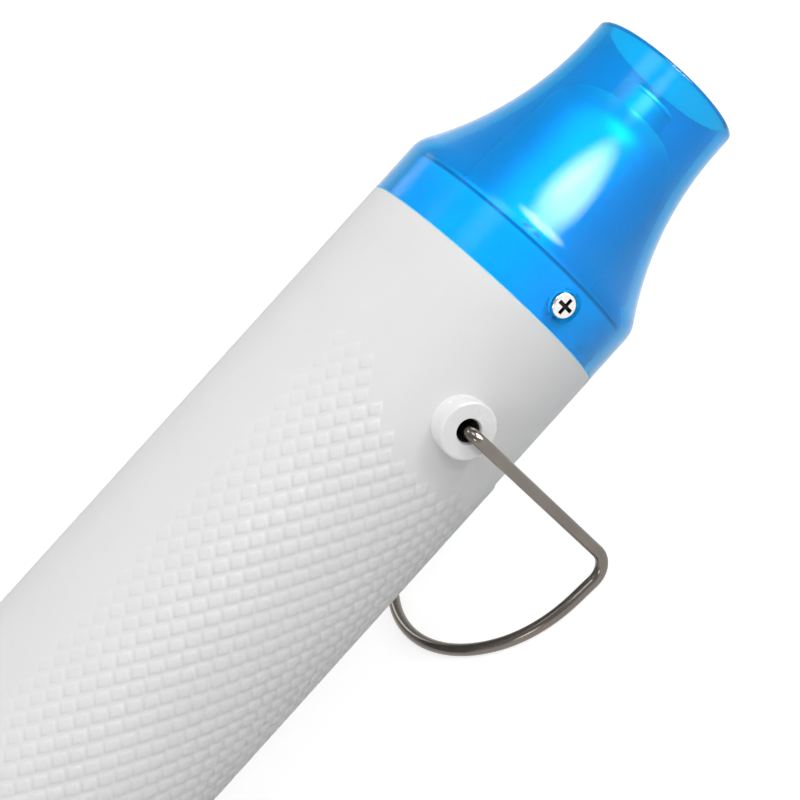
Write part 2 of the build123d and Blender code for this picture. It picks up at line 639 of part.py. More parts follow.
def switch_rocker():
    """The rocker in its off position, its rear end down on the stop."""
    half = ROCKER_LENGTH / 2
    tail = half * ROCKER_TAIL_SHARE
    width = SWITCH_WIDTH / 2 - SWITCH_WALL - ROCKER_SIDE_GAP
    outline = Polyline(
        (-half, -ROCKER_SKIRT),
        (-half, ROCKER_RISE),
        (0, ROCKER_RISE - ROCKER_DIP),
        (half, ROCKER_RISE),
        (half, -ROCKER_SKIRT),
        (tail, -ROCKER_TAIL),
        (-tail, -ROCKER_TAIL),
        close=True,
    )
    paddle = extrude(Plane.XZ * make_face(outline), width, both=True)
    paddle = fillet(paddle.edges().filter_by(Axis.Y).group_by(Axis.Z)[-1], ROCKER_ROUND)
    pin_reach = SWITCH_WIDTH / 2 - SLIDE_CLEARANCE
    pins = along_y(ROCKER_PIN_RADIUS, -pin_reach, pin_reach)
    return Pos(SWITCH_X, 0, ROCKER_PIVOT_Z) * Rot(0, -ROCKER_THROW / 2, 0) * (paddle + pins)


def motor_can():
    """The motor's steel can, closed at the fan's end."""
    shell = ring(MOTOR_RADIUS, MOTOR_RADIUS - MOTOR_WALL, MOTOR_START, MOTOR_END)
    face = along_x(MOTOR_RADIUS, MOTOR_START, MOTOR_START + MOTOR_WALL)
    cut = (MOTOR_START - BEYOND, MOTOR_START + MOTOR_WALL + BEYOND)
    bearing = along_x(BUSHING_RADIUS + SEAT_CLEARANCE, *cut)
    hole = along_x(MOTOR_SCREW[2] + SEAT_CLEARANCE, *cut, y=MOTOR_SCREW_OFFSET)
    return shell + face - bearing - hole - mirror(hole, Plane.XZ)


def motor_bushing(start):
    return ring(BUSHING_RADIUS, SHAFT_RADIUS + RUNNING_CLEARANCE / 2, start, start + BUSHING_LENGTH)


def motor_magnets():
    """Two curved magnets inside the can."""
    outer = MOTOR_RADIUS - MOTOR_WALL - SEAT_CLEARANCE
    reach = (CORE_START - MAGNET_OVERHANG, CORE_END + MAGNET_OVERHANG)
    shell = ring(outer, outer - MAGNET_THICKNESS, *reach)
    half = MAGNET_GAP / 2
    return shell - block((MOTOR_START, MOTOR_END), (-half, half), (-MOTOR_RADIUS, MOTOR_RADIUS))


def core_slot(width, start, end, gap=0.0):
    """One winding slot of the rotor, or what fills it with a gap at its floor and mouth."""
    half = width / 2
    inner = CORE_RADIUS * CORE_SLOT_INNER_SHARE + gap
    outer = CORE_RADIUS * CORE_SLOT_OUTER_SHARE - gap
    return block((start, end), (-half, half), (inner, outer))


def rotor_core():
    """The laminated three-pole core, pressed on the shaft."""
    core = ring(CORE_RADIUS, SHAFT_RADIUS + SEAT_CLEARANCE / 2, CORE_START, CORE_END)
    cut = (CORE_START - BEYOND, CORE_END + BEYOND)
    slot = core_slot(CORE_SLOT_WIDTH, *cut)
    half = CORE_MOUTH_WIDTH / 2
    mouth = block(cut, (-half, half), (CORE_RADIUS / 2, CORE_RADIUS + BEYOND))
    return core - around(slot + mouth, 3)


def rotor_windings():
    """The copper in the three slots, standing a little out of both ends."""
    width = CORE_SLOT_WIDTH - 2 * SLIDE_CLEARANCE
    reach = (CORE_START - WINDING_OVERHANG, CORE_END + WINDING_OVERHANG)
    return around(core_slot(width, *reach, SLIDE_CLEARANCE), 3)


def commutator():
    end = COMMUTATOR_START + COMMUTATOR_LENGTH
    return ring(COMMUTATOR_RADIUS, SHAFT_RADIUS + SEAT_CLEARANCE / 2, COMMUTATOR_START, end)


def motor_shaft():
    return along_x(SHAFT_RADIUS, FAN_START + SHAFT_INSET, MOTOR_END + MOTOR_WALL + SHAFT_TIP)


def motor_end_cap():
    """The plastic end of the motor, with the front bushing, two pads and two slots for the tabs."""
    inner = MOTOR_RADIUS - MOTOR_WALL - SEAT_CLEARANCE
    plug = along_x(inner, MOTOR_END - END_CAP_THICKNESS, MOTOR_END)
    flange = along_x(MOTOR_RADIUS, MOTOR_END, MOTOR_END + MOTOR_WALL)
    pad = along_x(END_PAD_RADIUS, MOTOR_END, BOARD_START, z=MOTOR_SCREW_OFFSET)
    pads = [pad, mirror(pad, Plane.XY)]
    start = bushing_front_start()
    hub = along_x(BUSHING_RADIUS + HUB_WALL, start, MOTOR_END)
    bearing = along_x(BUSHING_RADIUS + SEAT_CLEARANCE, start - BEYOND, BOARD_START)
    slots = both_sides(brush_tab(SLIDE_CLEARANCE))
    return plug + flange + hub + pads - bearing - slots


def bushing_front_start():
    return MOTOR_END + MOTOR_WALL - BUSHING_LENGTH


def brush_tab(gap=0.0):
    """The flat tab that brings current through the motor's end cap on the -Y side."""
    y = -BRUSH_TAB_OFFSET
    thick = TAB_THICKNESS / 2 + gap
    wide = TAB_WIDTH / 2 + gap
    along = (MOTOR_END - END_CAP_THICKNESS - TAB_INSIDE, BOARD_END + TAB_STAND)
    return block(along, (y - thick, y + thick), (-wide, wide))


def brush_x():
    return COMMUTATOR_START + COMMUTATOR_LENGTH / 2


def motor_terminals():
    """A spring arm and a tab on each side, from the brush out through the end cap."""
    start = brush_x() - BRUSH_SIZE / 2
    side = (-BRUSH_TAB_OFFSET - TAB_THICKNESS / 2, -BRUSH_TAB_OFFSET + TAB_THICKNESS / 2)
    wide = (-BRUSH_SIZE / 2, BRUSH_SIZE / 2)
    arm = block((start, start + TAB_THICKNESS), (side[0], -COMMUTATOR_RADIUS - ARM_GAP), wide)
    leg = block((start, MOTOR_END), side, wide)
    return both_sides(arm + leg + brush_tab())


def motor_brushes():
    """Two carbon blocks against the commutator."""
    start = brush_x() - BRUSH_SIZE / 2 + TAB_THICKNESS
    end = start + BRUSH_SIZE
    carbon = block(
        (start, end),
        (-COMMUTATOR_RADIUS - BRUSH_LENGTH, -COMMUTATOR_RADIUS / 2),
        (-BRUSH_SIZE / 2, BRUSH_SIZE / 2),
    )
    seat = along_x(COMMUTATOR_RADIUS + RUNNING_CLEARANCE, start - BEYOND, end + BEYOND)
    return both_sides(carbon - seat)


def rectifier_board():
    """The round board on the motor's end, slotted for the tabs."""
    disc = along_x(BOARD_RADIUS, BOARD_START, BOARD_END)
    hole_radius = BUSHING_RADIUS + BOARD_HOLE_GAP
    shaft_hole = along_x(hole_radius, BOARD_START - BEYOND, BOARD_END + BEYOND)
    return disc - shaft_hole - both_sides(brush_tab(SLIDE_CLEARANCE))


def rectifier_diodes():
    """Four diodes side by side, each on two bent legs."""
    x = BOARD_END + DIODE_RADIUS + SEAT_CLEARANCE
    thin = DIODE_LEG_RADIUS
    leg_y = DIODE_LENGTH / 2 + DIODE_LEG_REACH
    leg = along_x(thin, BOARD_END, x + thin, y=leg_y)
    body = along_y(DIODE_RADIUS, -DIODE_LENGTH / 2, DIODE_LENGTH / 2, x)
    one = body + along_y(thin, -leg_y - thin, leg_y + thin, x) + leg + mirror(leg, Plane.XZ)
    first = BUSHING_RADIUS + DIODE_HOLE_GAP
    heights = (-first - DIODE_PITCH, -first, first, first + DIODE_PITCH)
    return [Pos(0, 0, z) * one for z in heights]


def fan_impeller():
    """The axial fan: a hub with twisted blades, on the rear end of the shaft."""
    hub = ring(FAN_HUB_RADIUS, SHAFT_RADIUS + SEAT_CLEARANCE / 2, FAN_START, FAN_END)
    hub = fillet(hub.edges().group_by(Axis.X)[0].sort_by(SortBy.RADIUS)[-1], FAN_HUB_ROUND)
    chord = FAN_LENGTH / cos(radians(FAN_BLADE_ANGLE))
    tip = DUCT_BORE - FAN_TIP_GAP
    root = Box(chord, FAN_BLADE_THICKNESS, tip + BEYOND, align=LOW)
    blade = Pos((FAN_START + FAN_END) / 2, 0, 0) * Rot(0, 0, FAN_BLADE_ANGLE) * root
    reach = (FAN_START + FAN_BLADE_MARGIN, FAN_END - FAN_BLADE_MARGIN)
    blade = blade & ring(tip, FAN_HUB_RADIUS - POST_OVERLAP, *reach)
    return hub + around(blade, FAN_BLADES)


def fan_duct():
    """The duct round the fan, with vanes that carry the motor's cup."""
    cup_radius = MOTOR_RADIUS + SEAT_CLEARANCE
    wall = (MOTOR_START - DUCT_CUP_FLOOR, MOTOR_START)
    cut = (wall[0] - BEYOND, wall[1] + BEYOND)
    shell = ring(DUCT_RADIUS, DUCT_BORE, DUCT_START, DUCT_END)
    cup = ring(cup_radius + DUCT_CUP_WALL, cup_radius, wall[0], DUCT_END)
    face = along_x(cup_radius + DUCT_CUP_WALL / 2, *wall) - along_x(BUSHING_RADIUS + HUB_WALL, *cut)
    half = DUCT_VANE_THICKNESS / 2
    vane = block(
        (MOTOR_START + DUCT_VANE_INSET, DUCT_END - DUCT_VANE_INSET),
        (-half, half),
        (cup_radius + DUCT_CUP_WALL / 2, DUCT_RADIUS - DUCT_WALL / 2),
    )
    hole = along_x(MOTOR_SCREW[2] + SLIDE_CLEARANCE, *cut, y=-MOTOR_SCREW_OFFSET)
    groove = block(
        (DUCT_START - BEYOND, DUCT_END + BEYOND),
        (-LEAD_GROOVE / 2, LEAD_GROOVE / 2),
        (DUCT_RADIUS - 2 * LEAD_RADIUS - SLIDE_CLEARANCE, DUCT_RADIUS + BEYOND),
    )
    vanes = around(vane, DUCT_VANES, 180 / DUCT_VANES)
    return shell + cup + face + vanes - both_sides(hole) - groove


def motor_mount_screws():
    seat = MOTOR_START - DUCT_CUP_FLOOR
    one = Pos(seat, -MOTOR_SCREW_OFFSET, 0) * Rot(0, -90, 0) * screw(MOTOR_SCREW)
    return both_sides(one)


def eyelet_places():
    """The Y and Z of the three eyelets on the heater's base: two for the coil, one for the switch."""
    return ((-EYELET_OFFSET, 0), (EYELET_OFFSET, 0), (0, SWITCH_LEAD_HEIGHT))


def element_base():
    """The ceramic disc that carries the heater, with windows for the air."""
    disc = along_x(BASE_RADIUS, BASE_START, FRONT)
    cut = (BASE_START - BEYOND, FRONT + BEYOND)
    windows = ring(BASE_WINDOW_RADIUS, BASE_HUB_RADIUS, *cut)
    half = BASE_ARM_WIDTH / 2
    arm = block(cut, (-BASE_RADIUS, BASE_RADIUS), (-half, half))
    arms = arm + Rot(90, 0, 0) * arm
    lug = along_x(NOZZLE_LUG_RADIUS + 2 * SLIDE_CLEARANCE, *cut, z=-NOZZLE_SCREW_CIRCLE)
    eyelets = [along_x(EYELET_RADIUS + SEAT_CLEARANCE, *cut, *at) for at in eyelet_places()]
    tabs = mica_tab(SEAT_CLEARANCE) + Rot(90, 0, 0) * mica_tab(SEAT_CLEARANCE)
    return disc - (windows - arms) - around(lug, NOZZLE_SCREWS) - eyelets - tabs


def element_terminals():
    """Three brass eyelets through the base."""
    reach = (BASE_START - EYELET_REAR, FRONT + EYELET_FRONT)
    return [along_x(EYELET_RADIUS, *reach, *at) for at in eyelet_places()]


def mica_tab(gap=0.0):
    """Two tabs at the rear of a mica plate, which sit in the base's slots."""
    thick = MICA_THICKNESS / 2 + gap
    inner = BASE_HUB_RADIUS + MICA_TAB_INSET - gap
    outer = BASE_HUB_RADIUS + MICA_TAB_INSET + MICA_TAB_WIDTH + gap
    upper = block((BASE_START, FRONT), (-thick, thick), (inner, outer))
    return upper + mirror(upper, Plane.XY)


def mica_plate(slot_start, slot_end):
    """An upright mica plate with its tabs, and a slot along its middle for the other plate."""
    thick = MICA_THICKNESS / 2
    half = COIL_RADIUS - COIL_WIRE_RADIUS - SLIDE_CLEARANCE
    plate = block((FRONT, FRONT + MICA_LENGTH), (-thick, thick), (-half, half))
    gap = thick + SEAT_CLEARANCE
    through = (-thick - BEYOND, thick + BEYOND)
    slot = block((FRONT + slot_start, FRONT + slot_end), through, (-gap, gap))
    return plate + mica_tab() - slot


def mica_plate_upright():
    """The plate with the tongue that shows in the nozzle's mouth."""
    thick = MICA_THICKNESS / 2
    half = MICA_TONGUE_WIDTH / 2
    start = FRONT + MICA_LENGTH
    tongue = block((start, start + MICA_TONGUE_LENGTH), (-thick, thick), (-half, half))
    return mica_plate(-BEYOND, MICA_LENGTH / 2) + tongue


def mica_plate_level():
    return Rot(90, 0, 0) * mica_plate(MICA_LENGTH / 2, MICA_LENGTH + BEYOND)


def heating_coil():
    """The resistance wire, wound round the two plates as one open helix."""
    pitch = COIL_LENGTH / COIL_TURNS
    print("heating coil, least gap between turns:", round(pitch - 2 * COIL_WIRE_RADIUS, 3))
    path = Helix(pitch, COIL_LENGTH, COIL_RADIUS)
    coil = sweep(Plane(origin=path @ 0, z_dir=path % 0) * Circle(COIL_WIRE_RADIUS), path=path)
    return Pos(FRONT + COIL_START, 0, 0) * Rot(0, 90, 0) * Rot(0, 0, 90) * coil


def mica_sleeve():
    return ring(SLEEVE_RADIUS, SLEEVE_RADIUS - SLEEVE_WALL, FRONT, NOZZLE_BODY_END)


def thermal_cutoff():
    """The cutoff on the rear of the base."""
    x, y, z = CUTOFF_SIZE
    height = (-CUTOFF_DROP - z / 2, -CUTOFF_DROP + z / 2)
    case = block((BASE_START - x, BASE_START), (-y / 2, y / 2), height)
    return fillet(case.edges().filter_by(Axis.Y).group_by(Axis.X)[0], CUTOFF_ROUND)


def bell_outline(inset):
    """Half of the nozzle's bell in section, inset by a wall, closed along the tool's axis."""
    start = COLLAR_END
    base = NOZZLE_BASE_RADIUS - inset
    body_end = NOZZLE_BODY_END
    body = NOZZLE_BODY_RADIUS - inset
    shoulder = NOZZLE_SHOULDER_RADIUS - inset
    neck = NOZZLE_NECK_RADIUS - inset
    centre = body - shoulder
    neck_start = body_end + sqrt(shoulder**2 - (neck - centre) ** 2)
    end = FRONT + NOZZLE_REACH
    halfway = asin((neck_start - body_end) / shoulder) / 2
    middle = (body_end + shoulder * sin(halfway), centre + shoulder * cos(halfway))
    side = Line((start, base), (body_end, body))
    side += ThreePointArc((body_end, body), middle, (neck_start, neck))
    rest = Polyline((neck_start, neck), (end, neck), (end, 0), (start, 0), (start, base))
    return make_face(side + rest)


def steel_nozzle():
    """The pressed steel nozzle: a flange, a bell and a short neck with a rolled lip."""
    outside = revolve(bell_outline(0), Axis.X)
    outside += along_x(NOZZLE_FLANGE_RADIUS, COLLAR_END, COLLAR_END + NOZZLE_WALL)
    solid = outside - revolve(bell_outline(NOZZLE_WALL), Axis.X)
    lip = Pos(FRONT + NOZZLE_REACH, NOZZLE_NECK_RADIUS - NOZZLE_WALL / 2) * Circle(NOZZLE_LIP_RADIUS)
    cut = (COLLAR_END - BEYOND, COLLAR_END + NOZZLE_WALL + BEYOND)
    hole = along_x(NOZZLE_SCREW[2] + SLIDE_CLEARANCE, *cut, z=-NOZZLE_SCREW_CIRCLE)
    return solid + revolve(lip, Axis.X) - around(hole, NOZZLE_SCREWS)


def nozzle_screws():
    seat = COLLAR_END + NOZZLE_WALL
    one = Pos(seat, 0, -NOZZLE_SCREW_CIRCLE) * Rot(0, 90, 0) * screw(NOZZLE_SCREW)
    return around(one, NOZZLE_SCREWS)


def switch_lead():
    """The lead from the switch, over the duct in its groove, to the heater's base."""
    height = DUCT_RADIUS - LEAD_RADIUS
    low = SWITCH_FLAT - SWITCH_DEPTH - TERMINAL_LENGTH / 2
    start = SWITCH_X + TERMINAL_SPAN / 2 + TERMINAL_THICKNESS / 2
    end = BASE_START - EYELET_REAR
    path = FilletPolyline(
        (start, 0, low),
        (start + LEAD_STRAIGHT, 0, low),
        (DUCT_START - LEAD_STRAIGHT, 0, height),
        (DUCT_END + LEAD_STRAIGHT, 0, height),
        (end - LEAD_STRAIGHT, 0, SWITCH_LEAD_HEIGHT),
        (end, 0, SWITCH_LEAD_HEIGHT),
        radius=LEAD_BEND_RADIUS,
    )
    return sweep(Plane(origin=path @ 0, z_dir=path % 0) * Circle(LEAD_RADIUS), path=path)


def element_leads():
    """Two straight leads from the motor's tabs to the coil's eyelets."""
    start = BOARD_END + TAB_STAND
    one = along_x(LEAD_RADIUS, start, BASE_START - EYELET_REAR, y=-BRUSH_TAB_OFFSET)
    return both_sides(one)


def all_pieces():
    """Every piece of the tool, by the name of its node."""
    left_bush = mirror(bail_bush(), Plane.XZ)
    return {
        "barrel": barrel(),
        "rear_cap": rear_cap(),
        "rear_cap_screws": rear_cap_screws(),
        "cord_gland": cord_gland(),
        "cord_clamp": cord_clamp(),
        "cord_clamp_screws": cord_clamp_screws(),
        "nozzle_guard": nozzle_guard(),
        "guard_screws": guard_screws(),
        "bail_bush_right": bail_bush(),
        "bail_bush_left": left_bush,
        "bail": bail(),
        "switch_housing": switch_housing(),
        "switch_terminals": switch_terminals(),
        "switch_rocker": switch_rocker(),
        "motor_can": motor_can(),
        "motor_bushing_rear": motor_bushing(MOTOR_START),
        "motor_bushing_front": motor_bushing(bushing_front_start()),
        "motor_magnets": motor_magnets(),
        "motor_end_cap": motor_end_cap(),
        "motor_terminals": motor_terminals(),
        "motor_brushes": motor_brushes(),
        "motor_mount_screws": motor_mount_screws(),
        "motor_shaft": motor_shaft(),
        "rotor_core": rotor_core(),
        "rotor_windings": rotor_windings(),
        "commutator": commutator(),
        "fan_impeller": fan_impeller(),
        "fan_duct": fan_duct(),
        "rectifier_board": rectifier_board(),
        "rectifier_diodes": rectifier_diodes(),
        "element_base": element_base(),
        "element_terminals": element_terminals(),
        "mica_plate_upright": mica_plate_upright(),
        "mica_plate_level": mica_plate_level(),
        "heating_coil": heating_coil(),
        "mica_sleeve": mica_sleeve(),
        "thermal_cutoff": thermal_cutoff(),
        "steel_nozzle": steel_nozzle(),
        "nozzle_screws": nozzle_screws(),
        "switch_lead": switch_lead(),
        "element_leads": element_leads(),
    }


def solids_of(piece):
    """The separate solids of a piece, which is one shape or a list of shapes."""
    shapes = piece if isinstance(piece, list) else [piece]
    return [solid for shape in shapes for solid in shape.solids()]


def standing(pieces):
    """The pieces tipped onto the stand, over the middle of their box, with the lowest point at Z = 0."""
    tip = Rot(0, -degrees(TILT), 0)
    tipped = {name: [tip * solid for solid in solids_of(piece)] for name, piece in pieces.items()}
    box = Compound([solid for solids in tipped.values() for solid in solids]).bounding_box()
    offset = Pos(-box.center().X, -box.center().Y, -box.min.Z)
    placed = {}
    for name, solids in tipped.items():
        placed[name] = Compound([offset * solid for solid in solids])
    return placed, offset


def main():
    os.makedirs("parts", exist_ok=True)
    placed, offset = standing(all_pieces())
    for name, piece in placed.items():
        export_step(piece, f"parts/{name}.step")
    print("tilt in degrees:", round(degrees(TILT), 4), "offset:", offset.position)


main()
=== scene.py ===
import json
import math

import bmesh
import bpy
from mathutils import Euler, Matrix, Vector

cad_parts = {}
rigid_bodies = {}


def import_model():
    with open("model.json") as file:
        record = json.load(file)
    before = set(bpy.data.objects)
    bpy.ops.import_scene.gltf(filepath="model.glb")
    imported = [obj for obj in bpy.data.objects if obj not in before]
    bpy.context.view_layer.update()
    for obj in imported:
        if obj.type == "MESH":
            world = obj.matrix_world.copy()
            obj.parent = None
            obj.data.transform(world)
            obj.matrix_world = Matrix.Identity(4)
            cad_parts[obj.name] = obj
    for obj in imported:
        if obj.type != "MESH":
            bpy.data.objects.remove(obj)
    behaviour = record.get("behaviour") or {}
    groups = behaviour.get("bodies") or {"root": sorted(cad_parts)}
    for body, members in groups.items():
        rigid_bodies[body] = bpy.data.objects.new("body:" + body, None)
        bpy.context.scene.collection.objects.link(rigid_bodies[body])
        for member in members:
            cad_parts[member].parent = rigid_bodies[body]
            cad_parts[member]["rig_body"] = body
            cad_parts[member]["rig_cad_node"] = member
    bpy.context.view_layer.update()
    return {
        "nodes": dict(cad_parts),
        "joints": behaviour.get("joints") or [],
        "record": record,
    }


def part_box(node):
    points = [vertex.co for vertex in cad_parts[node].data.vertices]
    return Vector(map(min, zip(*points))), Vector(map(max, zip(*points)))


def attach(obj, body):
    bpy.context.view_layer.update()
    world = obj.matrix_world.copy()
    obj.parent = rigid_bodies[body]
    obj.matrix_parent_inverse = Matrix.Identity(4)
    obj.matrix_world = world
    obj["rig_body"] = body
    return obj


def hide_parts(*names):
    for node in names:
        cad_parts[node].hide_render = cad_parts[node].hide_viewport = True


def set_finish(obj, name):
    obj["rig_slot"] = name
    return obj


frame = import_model()

# Embossing heat tool, in metres. The tool's own axis runs through the stand's pivot and rises
# towards the nozzle. Lengths along it are counted from the pivot, forwards.
joints = {joint["name"]: joint for joint in frame["joints"]}
PIVOT = Vector(joints["stand_swing"]["pos_m"])
AXIS = Vector(joints["fan_spin"]["axis"]).normalized()
TILT = math.atan2(AXIS.z, AXIS.x)
TO_ROW = Matrix.Translation(PIVOT) @ Matrix.Rotation(-TILT, 4, "Y")
TO_TOOL = TO_ROW.inverted()

# Grip: raised square pads in staggered rows on the barrel's sides and underside
GRIP_COLUMNS = 50
GRIP_PITCH = 0.0043
PAD_GAP = 0.0001
PAD_CLOSER = 0.00022
PAD_WIDER = 0.0001
PAD_SLOPE = 0.00025
PAD_HEIGHT = 0.00022
PAD_EDGE = 0.00032
PAD_CROWN = 0.00006
PAD_LEAST = 0.00036
GRIP_REAR_MARGIN = 0.012
# The pads flatten out in steps towards the smooth strip, at these degrees from the top.
GRIP_FADE = (31.0, 37.0, 44.0, 52.0)
# The grip's front edge: degrees from the top, and metres ahead of the pivot
GRIP_FRONT = (
    (31, -0.0018),
    (44, -0.0016),
    (64, -0.0062),
    (80, -0.0094),
    (97, -0.0096),
    (117, -0.0085),
    (132, -0.0057),
    (147, -0.0033),
    (180, 0.0),
)
# Where a pad's corner lies after its gap, as a share of its diamond, and how far off it may be
CORNER_SHARE = 0.86
CORNER_SLACK = 0.08

# The barrel's tube, and the core of ledges, posts and collar that it is joined to. The bar
# that trims the core reaches past the tube at both ends.
SKIN_INNER_RADIUS = 0.0208
SKIN_MERGE = 0.00001
CORE_RADIUS = 0.0210
CORE_MERGE = 0.000001
TRIM_PAST_REAR = 0.01
TRIM_PAST_FRONT = 0.02
RIM_CHAMFER = 0.00022
BUSH_HOLE_RADIUS = 0.00302
SMOOTH_UNDER = 42

# The openings for the switch: depths below the barrel's crown, the gap beside the switch, how
# far a cut runs past the crown, and its bottom above the axis. The last is for the bushes.
BEZEL_DEPTH = 0.001
BEZEL_PARTS_ABOVE = 0.0011
BODY_PARTS_BELOW = 0.0015
SWITCH_GAP = 0.0002
CUT_PAST = 0.002
SWITCH_HOLE_BOTTOM = 0.01
BUSH_HOLES_REACH = 0.03

# Painted shade by place: the collar's front edge, the bushes' dishes and the screws' recesses
SEAM_SHADE_WIDTH = 0.0007
BUSH_SHADE_RADIUS = 0.00198
BUSH_SHADE_DEPTH = 0.0006
RECESS_RADIUS = 0.0016
RECESS_EDGE_DEPTH = 0.0003
RECESS_SHADE_DEPTH = 0.0002
SEAM_SHADE_COLOUR = (0.05, 0.06, 0.08)
HOLLOW_SHADE_COLOUR = (0.022, 0.021, 0.020)
HOLLOW_CORE_SHARE = 0.9

# What scuffs add to a finish's roughness, and the roughness of a coat
SCUFF_ROUGHNESS = 0.18
COAT_ROUGHNESS = 0.12

# Camera, fitted to the guard's circles, the barrel's edges, the boss and the wire. It is
# turned in degrees, and its lens is in millimetres.
CAMERA_PLACE = (0.02515, -0.29607, 0.20999)
CAMERA_TURN = (51.8064, 34.4656, -28.2991)
CAMERA_LENS = 99.0

# The room: its floor, its own light on the tool, and the rays that see it white
FLOOR_SIZE = 8.0
FLOOR_COLOUR = (0.52, 0.52, 0.52)
FLOOR_LIFT = 0.74
ROOM_LIGHT = 0.44
BACKDROP_RAYS = ("Is Camera Ray", "Is Glossy Ray", "Is Transmission Ray")
# The bright patches of the room: the direction of the middle, seen from the tool, the inner
# and outer radius in degrees, the brightness, and the kind of ray that sees it. The bright
# wall lights the metal behind the guard, and the guard's skin reflects the strip light.
BRIGHT_WALL = ((0.1116, -0.6330, 0.7660), 25, 65, 7.5, "Is Transmission Ray")
STRIP_LIGHT = ((0.7745, -0.5423, 0.3256), 0, 22, 42.0, "Is Glossy Ray")
# A softbox is brightest within the first distance from its middle and dark past the second,
# as shares of its size. Two softboxes aim at the tool's middle and two at the guard's.
SOFTBOX_FADE = (0.12, 0.5)
SOFTBOX_PEAK = 2.4
TOOL_MIDDLE = (0.02, 0.0, 0.03)
GUARD_MIDDLE = (0.09, 0.0, 0.048)


def reach(node):
    """A node's lowest and highest place along the tool's axis, from the pivot."""
    along = [(TO_TOOL @ v.co).x for v in frame["nodes"][node].data.vertices]
    return min(along), max(along)


def radius_of(node):
    """The largest distance of a node from the tool's axis."""
    placed = [TO_TOOL @ v.co for v in frame["nodes"][node].data.vertices]
    return max(math.hypot(p.y, p.z) for p in placed)


FRONT = reach("nozzle_guard")[0]
REAR = reach("barrel")[0]
BARREL_RADIUS = radius_of("barrel")


def nothing_selected():
    """Leaves object mode with nothing selected."""
    if bpy.context.mode != "OBJECT":
        bpy.ops.object.mode_set(mode="OBJECT")
    bpy.ops.object.select_all(action="DESELECT")


def take(piece):
    """Selects one piece alone and makes it active."""
    nothing_selected()
    piece.select_set(True)
    bpy.context.view_layer.objects.active = piece
    return piece


def settle(piece, matrix=None):
    """Puts a piece's place into its mesh."""
    take(piece)
    if matrix is not None:
        piece.matrix_world = matrix @ piece.matrix_world
    bpy.ops.object.transform_apply(location=True, rotation=True, scale=True)
    return piece


def pick(piece, wanted, kind="FACE"):
    """In edit mode, selects the faces, edges or vertices that a test wants."""
    bpy.ops.mesh.select_mode(type=kind)
    bpy.ops.mesh.select_all(action="DESELECT")
    mesh = bmesh.from_edit_mesh(piece.data)
    parts = {"FACE": mesh.faces, "EDGE": mesh.edges, "VERT": mesh.verts}[kind]
    for part in parts:
        if wanted(part):
            part.select_set(True)
    mesh.select_flush_mode()
    bmesh.update_edit_mesh(piece.data)


def apply_modifier(piece, kind, **settings):
    """Adds a modifier with these settings and applies it."""
    take(piece)
    modifier = piece.modifiers.new(kind.title(), kind)
    for name, value in settings.items():
        setattr(modifier, name, value)
    bpy.ops.object.modifier_apply(modifier=modifier.name)
    return piece


def cut(piece, tool, how="DIFFERENCE"):
    """Joins, cuts or trims a piece with another, which is then removed."""
    apply_modifier(piece, "BOOLEAN", operation=how, object=tool, solver="MANIFOLD")
    bpy.data.objects.remove(tool)
    return piece


def rod(name, radius, start, end, turn=(0, 90, 0), sides=96):
    """A round bar in the tool's frame, for cutting, from start to end along its own axis."""
    turn = [math.radians(v) for v in turn]
    middle = Euler(turn).to_matrix() @ Vector((0, 0, (start + end) / 2))
    nothing_selected()
    bpy.ops.mesh.primitive_cylinder_add(
        vertices=sides, radius=radius, depth=end - start, location=middle, rotation=turn
    )
    bar = bpy.context.active_object
    bar.name = name
    return settle(bar)


def block(name, low, high):
    """A box in the tool's frame, for cutting."""
    low, high = Vector(low), Vector(high)
    nothing_selected()
    bpy.ops.mesh.primitive_cube_add(size=1, location=(low + high) / 2)
    box = bpy.context.active_object
    box.name = name
    box.scale = high - low
    return settle(box)


def grip_front(angle):
    """How far forward the grip reaches at an angle from the top, in degrees."""
    for (a, x), (b, y) in zip(GRIP_FRONT, GRIP_FRONT[1:]):
        if angle <= b:
            return x + (y - x) * (angle - a) / (b - a)
    return GRIP_FRONT[-1][1]


def room_in(face):
    """How near a face's middle is to its nearest edge."""
    centre = face.calc_center_median()
    room = []
    for edge in face.edges:
        a, b = (v.co for v in edge.verts)
        along = (b - a).normalized()
        room.append(((centre - a) - along * (centre - a).dot(along)).length)
    return min(room)


